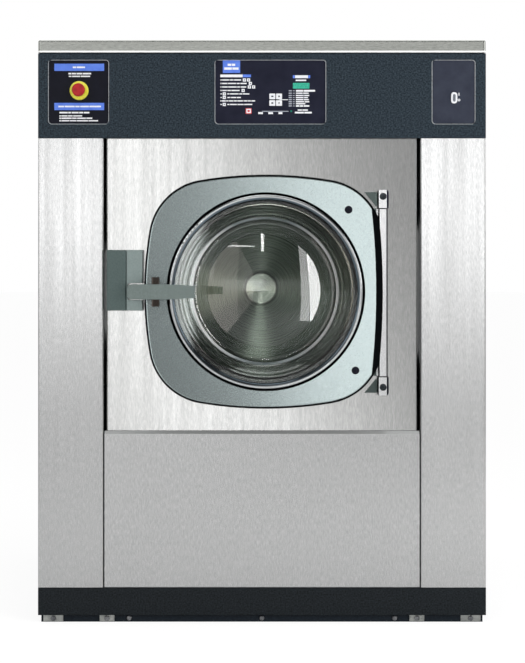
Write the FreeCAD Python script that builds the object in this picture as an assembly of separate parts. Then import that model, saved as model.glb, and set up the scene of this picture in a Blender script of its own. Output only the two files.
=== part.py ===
import FreeCAD, Part
import math
import os

V = FreeCAD.Vector

# Washer-extractor with a suspended tub. All sizes are in mm.
# X runs to the right seen from the front, Y into the machine, Z up.
# Depths are counted backwards from the front plane of the cabinet.

# Overall cabinet
WIDTH = 1240.0
HEIGHT = 1612.0
CABINET_DEPTH = 1290.0
HANDLE_REACH = 70.0
OUTLET_REACH = 55.0
FRONT_Y = (HANDLE_REACH - CABINET_DEPTH - OUTLET_REACH) / 2.0
HALF_W = WIDTH / 2.0
LID_H = 34.0
LID_Z = HEIGHT - LID_H
SHEET = 2.0
BEND = 2.0
RUNNING_FIT = 0.05
SLIDE_FIT = 0.2
FREE_GAP = 0.3

# Tub axis: the tub fills the height left between the drive below it and the pipes above it
TUB_FLOOR = 425.0
ROOF_SPACE = 171.0
TUB_R = (LID_Z - ROOF_SPACE - TUB_FLOOR) / 2.0
TUB_WALL = 4.0
TUB_GAP = 30.0
DRUM_R = TUB_R - TUB_GAP - TUB_WALL
DOOR_X = 10.0
DOOR_Z = TUB_FLOOR + TUB_R

# Base
BASE_H = 97.0
BASE_INSET = 8.0
BASE_SET_BACK = 12.0
RAIL_W = 80.0
RAIL_WALL = 6.0
CROSS_W = 130.0
FOOT_PLATE = 120.0
FOOT_PLATE_T = 12.0
ANCHOR_R = 9.0
BASE_HALF_W = HALF_W - BASE_INSET
BASE_BACK = CABINET_DEPTH - BASE_SET_BACK
BAY_HALF_W = BASE_HALF_W - RAIL_W

# Plinth, feet and their bolts
PLINTH_Z = 20.0
PLINTH_SEAM = 1.0
FOOT_T = 4.0
FOOT_Z = (2.0, 19.0)
FOOT_INNER = (409.0, 450.0)
FOOT_OUTER_INSET = (69.0, 14.0)
FOOT_SPANS = (FOOT_INNER, (HALF_W - FOOT_OUTER_INSET[0], HALF_W - FOOT_OUTER_INSET[1]))
FOOT_BOLT_Z = 10.5
FOOT_BOLT_R = 7.5
FOOT_BOLT_HEAD = 5.0
RAIL_BOLT_PITCH = 368.0
RAIL_BOLT_R = 7.0

# Cabinet panels
COLUMN_X = 439.0
COLUMN_RETURN = 40.0
SEAM = 3.0
FLANGE = 33.0
FLANGE_INSET = 60.0
LOWER_DROP = 386.0
LOWER_TOP = DOOR_Z - LOWER_DROP
LOWER_RETURN = 20.0
LOWER_BEVEL = 8.0
LID_CORNER = 8.0
LID_EDGE = 4.0
LOUVRE_X = 330.0
LOUVRE_LEN = 190.0
LOUVRE_W = 9.0
LOUVRE_ROUND = 4.0
LOUVRE_RISE = 214.0
LOUVRE_Z = DOOR_Z + LOUVRE_RISE
LOUVRE_PITCH = 26.0
LOUVRE_ROWS = 7

# Control fascia and its plates
FASCIA_GAP = 2.5
FASCIA_H = 234.5
FASCIA_TOP = LID_Z - FASCIA_GAP
FASCIA_Z = FASCIA_TOP - FASCIA_H
FASCIA_T = 2.5
FASCIA_RETURN = 20.0
FASCIA_SIDE = 60.0
COLUMN_TOP = FASCIA_Z - PLINTH_SEAM
PLATE_T = 3.0
PLATE_LAP = 8.0
PLATE_CORNER = 9.0
PLATE_RISE = 128.0
PLATE_Z = FASCIA_Z + PLATE_RISE
PLATE_H = 178.0
ESTOP_PLATE_INSET = 113.0
ESTOP_PLATE_X = ESTOP_PLATE_INSET - HALF_W
ESTOP_PLATE_W = 168.0
OVERLAY_X = 24.0
OVERLAY_W = 308.0
SWITCH_PLATE_INSET = 89.0
SWITCH_PLATE_X = HALF_W - SWITCH_PLATE_INSET
SWITCH_PLATE_W = 120.0
PLATE_BACK = FASCIA_T + PLATE_T

# Emergency stop
ESTOP_OFFSET = (1.0, 3.0)
ESTOP_X = ESTOP_PLATE_X + ESTOP_OFFSET[0]
ESTOP_Z = PLATE_Z + ESTOP_OFFSET[1]
COLLAR_R = 26.0
COLLAR_FRONT = -9.0
COLLAR_BEVEL = 3.0
SLEEVE_R = 11.0
ESTOP_BLOCK = 40.0
ESTOP_BLOCK_BACK = 52.0
ESTOP_BORE_END = 44.0
STEM_R = 8.0
STEM_ENDS = (-26.0, 32.0)
HEAD_R = 18.0
HEAD_NECK_R = 13.0
HEAD_ENDS = (-35.0, -17.0)

# Keys, display and board
KEY_W = 16.5
KEY_H = 15.5
KEY_CORNER = 2.0
KEYS_OFFSET = (13.9, -21.7)
KEY_X = OVERLAY_X + KEYS_OFFSET[0]
KEY_Z = PLATE_Z + KEYS_OFFSET[1]
KEY_PITCH_X = 18.6
KEY_PITCH_Z = 18.4
KEY_ENDS = (1.3, 8.0)
KEY_LIP = 0.5
KEY_LIP_T = 2.0
STOP_KEY_OFFSET = (-61.0, -53.0)
STOP_KEY_X = OVERLAY_X + STOP_KEY_OFFSET[0]
STOP_KEY_Z = PLATE_Z + STOP_KEY_OFFSET[1]
DISPLAY_OFFSET = (84.5, 17.0)
DISPLAY_X = OVERLAY_X + DISPLAY_OFFSET[0]
DISPLAY_Z = PLATE_Z + DISPLAY_OFFSET[1]
DISPLAY_W = 46.0
DISPLAY_H = 16.0
DISPLAY_FRONT = 2.9
BOARD_OFFSET = (16.0, -14.0)
BOARD_X = OVERLAY_X + BOARD_OFFSET[0]
BOARD_Z = PLATE_Z + BOARD_OFFSET[1]
BOARD_W = 230.0
BOARD_H = 130.0
BOARD_FRONT = 12.0
BOARD_T = 1.6
BOARD_POST_R = 3.0
BOARD_POST_INSET = 8.0
TACT_W = 6.0
TACT_FRONT = 9.3

# Main switch
ROCKER_OFFSET = (1.0, -16.0)
ROCKER_X = SWITCH_PLATE_X + ROCKER_OFFSET[0]
ROCKER_Z = PLATE_Z + ROCKER_OFFSET[1]
ROCKER_W = 17.0
ROCKER_ROUND = 8.1
ROCKER_H = 31.0
ROCKER_FRONT = -2.5
ROCKER_BACK = 12.0
ROCKER_PIVOT = 5.0
ROCKER_TILT = 7.0
ROCKER_SIDE_GAP = 0.4
ROCKER_END_GAP = 1.2
TRUNNION_R = 2.0
TRUNNION_LEN = 3.0
SWITCH_CASE_WALL = 4.0
SWITCH_CASE_BACK = 22.0

# Suspended front plate
SET_BACK = 25.0
SHADOW_GAP = 7.0
FRONT_PLATE_X = COLUMN_X - SHADOW_GAP
FRONT_PLATE_LAP = (30.0, 29.0)
FRONT_PLATE_Z = (LOWER_TOP - FRONT_PLATE_LAP[0], FASCIA_Z + FRONT_PLATE_LAP[1])
FRONT_PLATE_RETURN = 35.0
MOUTH_R = 262.0

# Door frame, glass and ring
DOOR_FRONT = -25.0
DOOR_BACK = 17.0
DOOR_HALF_W = 335.5
DOOR_HALF_H = 323.0
DOOR_SIDE_R = 1000.0
DOOR_TOP_R = 1100.0
DOOR_CORNER_R = 170.0
DOOR_RIGHT = 323.0
DOOR_RIGHT_R = 2100.0
DOOR_RIGHT_BEVEL = (19.0, 7.0)
DOOR_RIGHT_SPAN = 76.0
DOOR_EDGE_R = 8.0
DOOR_HOLE_R = 268.0
DOOR_HOLE_BEVEL = 6.0
LEDGE_R = 248.0
GLASS_SEAT = (3.0, 11.0)
RING_INNER_R = 252.0
RING_FRONT = -29.0
RING_ROUND = 6.0
GLASS_RIM_R = 265.0
GLASS_NECK_R = 246.0
GLASS_FOOT_R = 208.0
GLASS_DEPTH = 150.0
GLASS_T = 8.0
GLASS_ROUND = 18.0
GLASS_DOME_R = 190.0
GLASS_CROWN = 28.0
GASKET_R = (262.0, 278.0)

# Door hinge
HINGE_OUT = 1.0
HINGE_X = DOOR_X + DOOR_RIGHT + HINGE_OUT
BAR_HALF_W = 13.0
BAR_HALF_D = 15.0
BAR_CLEAR = 1.5
BAR_EDGE = 5.0
BAR_REACH = (236.0, 230.5)
BAR_Z = (DOOR_Z - BAR_REACH[0], DOOR_Z + BAR_REACH[1])
HINGE_END_GAP = 0.5
BLOCK_HALF_W = 16.0
BLOCK_H = 50.0
BLOCK_FRONT = -16.0
BLOCK_EDGE = 6.0
BLOCK_CORNER = 9.0
WEDGE_REACH = 49.0
WEDGE_T = 6.0
WEDGE_TRIM = 5.0
SPIGOT_R = 8.0
SPIGOT_LEN = 22.0
ARM_REACH = 119.0
ARM_X = HINGE_X - ARM_REACH
ARM_FACE = 24.0
ARM_H = 50.0
ARM_PAD_W = 57.0
ARM_PAD_X = ARM_X + ARM_PAD_W
ARM_PAD_H = 70.0
DOOR_BOLT_OFFSETS = ((228.0, 226.0), (247.0, -217.0))
DOOR_BOLTS = tuple((DOOR_X + x, DOOR_Z + z) for x, z in DOOR_BOLT_OFFSETS)
DOOR_BOLT_R = 10.5
DOOR_BOLT_HEAD = 8.0
DOOR_BOLT_SHANK_R = 6.0
SOCKET_R = 5.5
SOCKET_DEPTH = 5.0
HINGE_BOLT_R = 9.5
HINGE_BOLT_DROP = 18.0
HINGE_BOLT_DEPTH = 6.0

# Door latch and handle
LATCH_GAP = 10.0
LATCH_W = 54.0
LATCH_X = (LATCH_GAP - COLUMN_X, LATCH_GAP + LATCH_W - COLUMN_X)
LATCH_REACH = (52.0, 115.0)
LATCH_Z = (DOOR_Z - LATCH_REACH[0], DOOR_Z + LATCH_REACH[1])
LATCH_FRONT = -21.0
LATCH_EDGE = 4.0
KEEPER_W = 46.0
KEEPER_X = (LATCH_X[1] + FREE_GAP, LATCH_X[1] + KEEPER_W)
KEEPER_WALL = 3.2
POCKET_H = 47.0
BOLT_INSET = (12.0, 4.0)
BOLT_X = (LATCH_X[0] + BOLT_INSET[0], LATCH_X[1] - BOLT_INSET[1])
BOLT_H = 24.0
BOLT_ENDS = (-17.0, -9.5)
PIVOT_INSET = 32.5
PIVOT_X = DOOR_X - DOOR_HALF_W + PIVOT_INSET
PIVOT_DEPTH = -52.0
LEVER_T = 12.0
LEVER_H = 41.0
LEVER_TIP_H = 33.0
LEVER_GRIP = 109.0
LEVER_KINK = (14.0, 36.0)
LEVER_LIP = 77.0
LEVER_CORNER = 12.0
LEVER_LEG = (55.0, 67.0)
LEVER_FOOT = 76.0
LEVER_FOOT_DEPTH = -8.0
LEVER_BOSS_R = 12.0
LEVER_SKIN = 2.0
LEVER_PIN_R = 5.0
EAR_HALF_W = 10.6
EAR_H = 19.0
EAR_FRONT = -62.0
EAR_GAP = 0.5

# Tub, drum and shaft
TUB_FRONT = 66.0
TUB_BACK_T = 6.0
DRUM_WALL = 3.0
DRUM_FRONT = 92.0
DRUM_DEPTH = 610.0
DRUM_BACK_T = 6.0
DRUM_LIP = 16.0
DRUM_BACK = DRUM_FRONT + DRUM_DEPTH
TUB_BACK = DRUM_BACK + TUB_GAP + TUB_BACK_T
NECK_R = 266.0
TUB_SHAFT_R = 72.0
FUNNEL_LEAD = 12.0
FUNNEL_DEPTH = DRUM_BACK - FUNNEL_LEAD
FUNNEL_R = 45.0
FUNNEL_BORE_R = 36.0
FUNNEL_RISE = 25.0
FUNNEL_TOP = DOOR_Z + TUB_R + FUNNEL_RISE
LIFTER_ANGLES = (100.0, 220.0, 340.0)
LIFTER_H = 85.0
LIFTER_BASE = 130.0
LIFTER_TIP = 60.0
LIFTER_WALL = 2.0
LIFTER_INSET = (38.0, 32.0)
LIFTER_ENDS = (DRUM_FRONT + LIFTER_INSET[0], DRUM_BACK - LIFTER_INSET[1])
LIFTER_ROUND = 14.0
HUB_R = 52.0
HUB_FACE_R = 47.0
HUB_H = 26.0
SHAFT_FLANGE_R = 130.0
SHAFT_FLANGE_T = 18.0
SHAFT_FRONT_R = 45.0
SHAFT_MID_R = 42.0
SHAFT_REAR_R = 35.0
SHAFT_END_R = 30.0

# Bearing housing
HOUSING_FLANGE_R = 190.0
HOUSING_FLANGE_T = 22.0
HOUSING_FRONT_R = 118.0
HOUSING_REAR_R = 104.0
HOUSING_LEN = 262.0
HOUSING_BACK = TUB_BACK + HOUSING_LEN
SHAFT_TAIL = 112.0
SHAFT_END = HOUSING_BACK + SHAFT_TAIL
SEAL_SEAT_R = 70.0
SEAL_INSET = 4.0
SEAL_W = 16.0
SEAL_ENDS = (TUB_BACK + SEAL_INSET, TUB_BACK + SEAL_INSET + SEAL_W)
SEAL_LIP_GAP = 0.1
FRONT_SEAT_R = 80.0
FRONT_RACE_INSET = 10.0
FRONT_RACE_W = 40.0
FRONT_RACE = (SEAL_ENDS[1] + FRONT_RACE_INSET, SEAL_ENDS[1] + FRONT_RACE_INSET + FRONT_RACE_W)
MID_BORE_R = 66.0
REAR_SEAT_R = 70.0
REAR_RACE_INSET = 8.0
REAR_RACE_W = 35.0
REAR_RACE = (HOUSING_BACK - REAR_RACE_INSET - REAR_RACE_W, HOUSING_BACK - REAR_RACE_INSET)
RACE_GROOVE = 3.0
RACE_SHARE = 3.0
RIB_T = 16.0
RIB_COUNT = 6

# Drive
DRUM_PULLEY_R = 290.0
PULLEY_RIM = 20.0
PULLEY_GAP = 30.0
PULLEY_W = 60.0
PULLEY_ENDS = (HOUSING_BACK + PULLEY_GAP, HOUSING_BACK + PULLEY_GAP + PULLEY_W)
PULLEY_WEB_T = 14.0
PULLEY_HUB_R = 60.0
PULLEY_HUB_LEAD = 18.0
PULLEY_HUB_TAIL = 15.0
PULLEY_HUB_ENDS = (PULLEY_ENDS[0] - PULLEY_HUB_LEAD, PULLEY_ENDS[1] + PULLEY_HUB_TAIL)
PULLEY_HOLE_R = 62.0
PULLEY_HOLE_RING = 165.0
PULLEY_HOLES = 5
BELT_T = 9.0
BELT_INSET = 8.0
BELT_ENDS = (PULLEY_ENDS[0] + BELT_INSET, PULLEY_ENDS[1] - BELT_INSET)
MOTOR_X = -200.0
MOTOR_HANG = 150.0
MOTOR_Z = TUB_FLOOR - MOTOR_HANG
MOTOR_R = 108.0
MOTOR_LEN = 310.0
MOTOR_ENDS = (HOUSING_BACK - MOTOR_LEN, HOUSING_BACK)
MOTOR_BORE_R = 72.0
MOTOR_BELL_T = 22.0
MOTOR_FOOT_W = 150.0
MOTOR_FOOT_LEN = 60.0
MOTOR_FIN_H = 10.0
MOTOR_FIN_T = 6.0
MOTOR_FINS = 10
ROTOR_R = 70.0
ROTOR_END_GAP = 4.0
ROTOR_SHAFT_R = 19.0
ROTOR_SHAFT_TAIL = 94.0
ROTOR_SHAFT_END = HOUSING_BACK + ROTOR_SHAFT_TAIL
MOTOR_PULLEY_R = 48.0
MOTOR_PULLEY_LAP = 4.0
MOTOR_PULLEY_ENDS = (BELT_ENDS[0] - MOTOR_PULLEY_LAP, BELT_ENDS[1] + MOTOR_PULLEY_LAP)

# Suspension
CRADLE_GAP = 25.0
CRADLE_H = 70.0
CRADLE_Z = (TUB_FLOOR - CRADLE_GAP - CRADLE_H, TUB_FLOOR - CRADLE_GAP)
CRADLE_X = (410.0, 494.0)
CRADLE_FRONT = 180.0
CRADLE_TAIL = 10.0
CRADLE_ENDS = (CRADLE_FRONT, HOUSING_BACK + CRADLE_TAIL)
CROSSBAR_T = 12.0
FRONT_CROSSBAR = (240.0, 360.0)
MOTOR_PLATE = (MOTOR_ENDS[0], CRADLE_ENDS[1])
SADDLE_T = 16.0
SADDLE_LEAD = 47.0
SADDLE_STARTS = (292.0, DRUM_BACK - SADDLE_LEAD)
SADDLE_HALF_W = 470.0
SADDLE_DROP = 276.0
SADDLE_TOP = DOOR_Z - SADDLE_DROP
SUSPENSION_DEPTHS = (300.0, 880.0)
SPRING_X = 452.0
SPRING_R = 46.0
SPRING_WIRE_R = 8.0
SPRING_TURNS = 5.5
DAMPER_X = 355.0
DAMPER_R = 26.0
DAMPER_STROKE = 65.0
DAMPER_TOP = CRADLE_Z[0] - DAMPER_STROKE
DAMPER_BORE_Z = 112.0
DAMPER_ROD_R = 11.0
DAMPER_ROD_Z = 160.0

# Water and power connections
DRAIN_LEAD = 102.0
DRAIN_DEPTH = DRUM_BACK - DRAIN_LEAD
DRAIN_R = 38.0
DRAIN_BORE_R = 34.0
VALVE_HALF_W = 55.0
VALVE_REACH = (55.0, 60.0)
VALVE_ENDS = (DRAIN_DEPTH - VALVE_REACH[0], DRAIN_DEPTH + VALVE_REACH[1])
VALVE_DROP = 95.0
VALVE_H = 105.0
VALVE_Z = (TUB_FLOOR - VALVE_DROP - VALVE_H, TUB_FLOOR - VALVE_DROP)
DRAIN_RISE = 50.0
DRAIN_Z = VALVE_Z[0] + DRAIN_RISE
DRAIN_NECK = 40.0
DRAIN_NECK_Z = TUB_FLOOR - DRAIN_NECK
VALVE_SPIGOT = 22.0
VALVE_SPIGOT_Z = VALVE_Z[1] + VALVE_SPIGOT
BELLOWS_R = 46.0
BELLOWS_RIB_R = 54.0
BELLOWS_INSET = (4.0, 7.0)
BELLOWS_Z = (VALVE_Z[1] + BELLOWS_INSET[0], TUB_FLOOR - BELLOWS_INSET[1])
BELLOWS_RIBS = 3
BELLOWS_RIB_T = 9.0
OUTLET_LEG_R = 14.0
OUTLET_LEG_DEPTH = SUSPENSION_DEPTHS[1]
OUTLET_FLANGE_R = 62.0
OUTLET_FLANGE_T = 6.0
INLET_INSET = (200.0, 290.0)
INLET_X = (INLET_INSET[0] - HALF_W, INLET_INSET[1] - HALF_W)
INLET_DROP = 88.0
INLET_Z = LID_Z - INLET_DROP
INLET_R = 13.2
INLET_BORE_R = 9.0
INLET_LEN = 32.0
INLET_COLLAR_R = 19.0
INLET_COLLAR_T = 6.0
INLET_BODY = 56.0
INLET_BODY_LEAD = 85.0
INLET_BODY_FRONT = CABINET_DEPTH - INLET_BODY_LEAD
SPOUT_R = 11.0
SPOUT_SPREAD = 14.0
SPOUT_END_X = (DOOR_X - SPOUT_SPREAD, DOOR_X + SPOUT_SPREAD)
SPOUT_ELBOW_LEAD = (67.0, 29.0)
SPOUT_ELBOWS = (INLET_BODY_FRONT - SPOUT_ELBOW_LEAD[0], INLET_BODY_FRONT - SPOUT_ELBOW_LEAD[1])
SPOUT_DROP = 20.0
SPOUT_Z = INLET_Z - SPOUT_DROP
GLAND_INSET = 190.0
GLAND_X = HALF_W - GLAND_INSET
GLAND_Z = INLET_Z
GLAND_R = 19.0
GLAND_HOLE_R = 14.0
GLAND_BORE_R = 9.5
GLAND_LEAD = 14.0
GLAND_TAIL = 22.0
GLAND_ENDS = (CABINET_DEPTH - GLAND_LEAD, CABINET_DEPTH + GLAND_TAIL)
INVERTER_D = (420.0, 680.0)
INVERTER_DROP = 38.0
INVERTER_H = 320.0
INVERTER_Z = (LID_Z - INVERTER_DROP - INVERTER_H, LID_Z - INVERTER_DROP)
INVERTER_T = 92.0
INVERTER_FIN = 12.0
INVERTER_FIN_T = 9.0
INVERTER_FINS = 9


def depth(value):
    """Y of a place this far behind the front plane of the cabinet."""
    return FRONT_Y + value


def block(x0, x1, d0, d1, z0, z1):
    """Box between two X values, two depths and two heights."""
    left = min(x0, x1)
    return Part.makeBox(abs(x1 - x0), d1 - d0, z1 - z0, V(left, depth(d0), z0))


def rod(x, z, radius, d0, d1):
    """Cylinder that runs front to back."""
    return Part.makeCylinder(radius, d1 - d0, V(x, depth(d0), z), V(0, 1, 0))


def post(x, d, radius, z0, z1):
    """Cylinder that stands upright."""
    return Part.makeCylinder(radius, z1 - z0, V(x, depth(d), z0), V(0, 0, 1))


def cross_pin(x0, x1, d, z, radius):
    """Cylinder that runs left to right."""
    return Part.makeCylinder(radius, x1 - x0, V(x0, depth(d), z), V(1, 0, 0))


def unit(a, b):
    """Unit step from point a to point b in a flat drawing."""
    length = math.hypot(b[0] - a[0], b[1] - a[1])
    return ((b[0] - a[0]) / length, (b[1] - a[1]) / length)


def outline(corners, place):
    """Closed wire through corners (u, v) or (u, v, radius) with round corners."""
    count = len(corners)
    arcs = []
    for i in range(count):
        here = corners[i]
        radius = here[2] if len(here) == 3 else 0.0
        back = unit(here, corners[i - 1])
        ahead = unit(here, corners[(i + 1) % count])
        half = math.acos(max(-1.0, min(1.0, back[0] * ahead[0] + back[1] * ahead[1]))) / 2.0
        run = radius / math.tan(half)
        start = (here[0] + back[0] * run, here[1] + back[1] * run)
        end = (here[0] + ahead[0] * run, here[1] + ahead[1] * run)
        reach = radius / math.sin(half) - radius
        bisect = unit((0.0, 0.0), (back[0] + ahead[0], back[1] + ahead[1])) if radius else (0.0, 0.0)
        middle = (here[0] + bisect[0] * reach, here[1] + bisect[1] * reach)
        arcs.append((start, middle, end, radius))
    edges = []
    for i in range(count):
        start, middle, end, radius = arcs[i]
        if radius:
            edges.append(Part.Arc(place(*start), place(*middle), place(*end)).toShape())
        ahead = arcs[(i + 1) % count][0]
        if math.hypot(ahead[0] - end[0], ahead[1] - end[1]) > 1e-6:
            edges.append(Part.makeLine(place(*end), place(*ahead)))
    return Part.Wire(edges)


def front_plate_of(corners, d0, d1):
    """Plate drawn in the front view (X, Z) and as thick as the two depths."""
    wire = outline(corners, lambda x, z: V(x, depth(d0), z))
    return Part.Face(wire).extrude(V(0, d1 - d0, 0))


def plan_of(corners, z0, z1):
    """Bar drawn in the plan view (X, depth) and as tall as the two heights."""
    wire = outline(corners, lambda x, d: V(x, depth(d), z0))
    return Part.Face(wire).extrude(V(0, 0, z1 - z0))


def section_of(corners, x0, x1):
    """Bar drawn in the side view (depth, Z) that runs from x0 to x1."""
    wire = outline(corners, lambda d, z: V(x0, depth(d), z))
    return Part.Face(wire).extrude(V(x1 - x0, 0, 0))


def turned(profile, x, z):
    """Ring or disc turned about a front-to-back axis from (radius, depth) corners."""
    wire = outline(profile, lambda r, d: V(x + r, depth(d), z))
    return Part.Face(wire).revolve(V(x, 0, z), V(0, 1, 0), 360)


def rectangle(x, z, width, height, radius):
    """Corners of a rectangle about its middle, with round corners."""
    left, right = x - width / 2.0, x + width / 2.0
    low, high = z - height / 2.0, z + height / 2.0
    return [(left, low, radius), (right, low, radius), (right, high, radius), (left, high, radius)]


def joined(first, others):
    """One solid out of touching pieces."""
    return first.fuse(others).removeSplitter()


def mirrored(shape):
    """The same piece on the other side of the machine."""
    return shape.mirror(V(0, 0, 0), V(1, 0, 0))


# Base frame: folded channels with cross rails and four anchor plates

def channel(x0, x1, d0, d1):
    """Inverted U channel, open at the bottom along its length."""
    outer = block(x0, x1, d0, d1, 0.0, BASE_H)
    if x1 - x0 > d1 - d0:
        inner = block(x0 + RAIL_WALL, x1 - RAIL_WALL, d0 + RAIL_WALL, d1 - RAIL_WALL, 0.0, BASE_H - RAIL_WALL)
    else:
        inner = block(x0 + RAIL_WALL, x1 - RAIL_WALL, d0, d1, 0.0, BASE_H - RAIL_WALL)
    return outer.cut(inner)


def base_frame():
    front = channel(-BASE_HALF_W, BASE_HALF_W, BASE_SET_BACK, BASE_SET_BACK + RAIL_W)
    rear = channel(-BASE_HALF_W, BASE_HALF_W, BASE_BACK - RAIL_W, BASE_BACK)
    rails = [rear]
    for x0, x1 in ((-BASE_HALF_W, -BAY_HALF_W), (BAY_HALF_W, BASE_HALF_W)):
        rails.append(channel(x0, x1, BASE_SET_BACK + RAIL_W, BASE_BACK - RAIL_W))
    for d in SUSPENSION_DEPTHS:
        rails.append(channel(-BAY_HALF_W, BAY_HALF_W, d - CROSS_W / 2.0, d + CROSS_W / 2.0))
    holes = []
    for side in (-1, 1):
        for d in (BASE_SET_BACK + RAIL_W, BASE_BACK - RAIL_W - FOOT_PLATE):
            inner = side * (BAY_HALF_W - FOOT_PLATE)
            rails.append(block(inner, side * BAY_HALF_W, d, d + FOOT_PLATE, 0.0, FOOT_PLATE_T))
            middle = side * (BAY_HALF_W - FOOT_PLATE / 2.0)
            holes.append(post(middle, d + FOOT_PLATE / 2.0, ANCHOR_R, 0.0, FOOT_PLATE_T))
    return joined(front, rails).cut(holes)


def plinth_panel():
    top = BASE_H - PLINTH_SEAM
    edge = BASE_SET_BACK
    profile = [(edge, PLINTH_Z), (0.0, PLINTH_Z, BEND), (0.0, top, BEND), (edge, top), (edge, top - SHEET),
               (SHEET, top - SHEET), (SHEET, PLINTH_Z + SHEET), (edge, PLINTH_Z + SHEET)]
    cap = [(edge, PLINTH_Z), (0.0, PLINTH_Z, BEND), (0.0, top, BEND), (edge, top)]
    ends = [section_of(cap, -HALF_W, -HALF_W + SHEET), section_of(cap, HALF_W - SHEET, HALF_W)]
    return joined(section_of(profile, -HALF_W, HALF_W), ends)


def foot_middles():
    """X of the middle of each foot bracket."""
    middles = [(x0 + x1) / 2.0 for x0, x1 in FOOT_SPANS]
    return [-m for m in middles] + middles


def foot_brackets():
    feet = []
    for x0, x1 in FOOT_SPANS:
        foot = block(x0, x1, BASE_SET_BACK - FOOT_T, BASE_SET_BACK, FOOT_Z[0], FOOT_Z[1])
        feet.append(foot)
        feet.append(mirrored(foot))
    return Part.makeCompound(feet)


def flat_bolt(x, z, radius, face, head):
    """Dished round bolt head on an upright face."""
    profile = [(0.0, face - head), (radius, face - head, head / 2.0), (radius, face), (0.0, face)]
    return turned(profile, x, z)


def foot_bolts():
    bolts = []
    for x in foot_middles():
        bolts.append(flat_bolt(x, FOOT_BOLT_Z, FOOT_BOLT_R, BASE_SET_BACK - FOOT_T, FOOT_BOLT_HEAD))
    for i in (-1, 0, 1):
        bolts.append(flat_bolt(i * RAIL_BOLT_PITCH, FOOT_BOLT_Z, RAIL_BOLT_R, BASE_SET_BACK, FOOT_BOLT_HEAD))
    return Part.makeCompound(bolts)


# Cabinet panels: folded stainless sheet

def side_panel(side):
    outer, inner = HALF_W * side, COLUMN_X * side
    t = SHEET * side
    back = CABINET_DEPTH - SHEET
    profile = [(inner, COLUMN_RETURN), (inner, 0.0, BEND + SHEET), (outer, 0.0, BEND + SHEET),
               (outer, back), (outer - t, back), (outer - t, SHEET, BEND), (inner + t, SHEET, BEND),
               (inner + t, COLUMN_RETURN)]
    column = plan_of(profile, BASE_H, COLUMN_TOP)
    upper = block(outer - t, outer, FASCIA_SIDE, back, COLUMN_TOP, LID_Z)
    flange = block(outer - t, outer - side * FLANGE, FLANGE_INSET, CABINET_DEPTH - FLANGE_INSET,
                   BASE_H, BASE_H + SHEET)
    return joined(column, [upper, flange])


def top_panel():
    shell = block(-HALF_W, HALF_W, 0.0, CABINET_DEPTH, LID_Z, HEIGHT)
    upright = [e for e in shell.Edges if abs(e.tangentAt(e.FirstParameter).z) > 0.5]
    shell = shell.makeFillet(LID_CORNER, upright)
    rim = [e for e in shell.Edges if e.BoundBox.ZMin > HEIGHT - PLINTH_SEAM]
    shell = shell.makeFillet(LID_EDGE, rim)
    inside = block(-HALF_W + SHEET, HALF_W - SHEET, SHEET, CABINET_DEPTH - SHEET, LID_Z, HEIGHT - SHEET)
    corners = [e for e in inside.Edges if abs(e.tangentAt(e.FirstParameter).z) > 0.5]
    return shell.cut(inside.makeFillet(LID_CORNER - SHEET, corners))


def rear_panel():
    back = CABINET_DEPTH
    sheet = block(-HALF_W, HALF_W, back - SHEET, back, BASE_H, LID_Z)
    cuts = [rod(DOOR_X, DRAIN_Z, DRAIN_R + SEAM, back - SHEET, back)]
    for x in INLET_X:
        cuts.append(rod(x, INLET_Z, INLET_R + SLIDE_FIT, back - SHEET, back))
    cuts.append(rod(GLAND_X, GLAND_Z, GLAND_HOLE_R + SLIDE_FIT, back - SHEET, back))
    for side in (-1, 1):
        for row in range(LOUVRE_ROWS):
            z = LOUVRE_Z + row * LOUVRE_PITCH
            slot = rectangle(side * LOUVRE_X, z, LOUVRE_LEN, LOUVRE_W, LOUVRE_ROUND)
            cuts.append(front_plate_of(slot, back - SHEET, back))
    return sheet.cut(cuts)


def lower_front_panel():
    half = COLUMN_X - SEAM
    bevel = LOWER_BEVEL
    low = BASE_H
    edge = LOWER_RETURN
    profile = [(edge, LOWER_TOP), (bevel, LOWER_TOP), (0.0, LOWER_TOP - bevel), (0.0, low, BEND), (edge, low),
               (edge, low + SHEET), (SHEET, low + SHEET), (SHEET, LOWER_TOP - bevel - SHEET / 2.0),
               (bevel + SHEET / 2.0, LOWER_TOP - SHEET), (edge, LOWER_TOP - SHEET)]
    cap = [(edge, LOWER_TOP), (bevel, LOWER_TOP), (0.0, LOWER_TOP - bevel), (0.0, low, BEND), (edge, low)]
    ends = [section_of(cap, -half, -half + SHEET), section_of(cap, half - SHEET, half)]
    return joined(section_of(profile, -half, half), ends)


# Control fascia with three recessed plates

def fascia_windows():
    """Middle and width of each plate that shows through the fascia."""
    return ((ESTOP_PLATE_X, ESTOP_PLATE_W), (OVERLAY_X, OVERLAY_W), (SWITCH_PLATE_X, SWITCH_PLATE_W))


def control_fascia():
    shell = block(-HALF_W, HALF_W, 0.0, FASCIA_SIDE, FASCIA_Z, FASCIA_TOP)
    front = [e for e in shell.Edges if e.BoundBox.YMax < depth(PLINTH_SEAM)]
    shell = shell.makeFillet(BEND, front)
    hollow = block(-HALF_W + FASCIA_T, HALF_W - FASCIA_T, FASCIA_T, FASCIA_SIDE,
                   FASCIA_Z + FASCIA_T, FASCIA_TOP - FASCIA_T)
    behind = block(-HALF_W + FASCIA_T, HALF_W - FASCIA_T, FASCIA_RETURN, FASCIA_SIDE, FASCIA_Z, FASCIA_TOP)
    windows = []
    for x, width in fascia_windows():
        windows.append(front_plate_of(rectangle(x, PLATE_Z, width, PLATE_H, PLATE_CORNER), 0.0, FASCIA_T))
    return shell.cut([hollow, behind] + windows)


def backing_plate(x, width):
    """Plate bonded behind its window, larger than the window all round."""
    size = rectangle(x, PLATE_Z, width + 2.0 * PLATE_LAP, PLATE_H + 2.0 * PLATE_LAP, PLATE_CORNER)
    return front_plate_of(size, FASCIA_T, PLATE_BACK)


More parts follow.
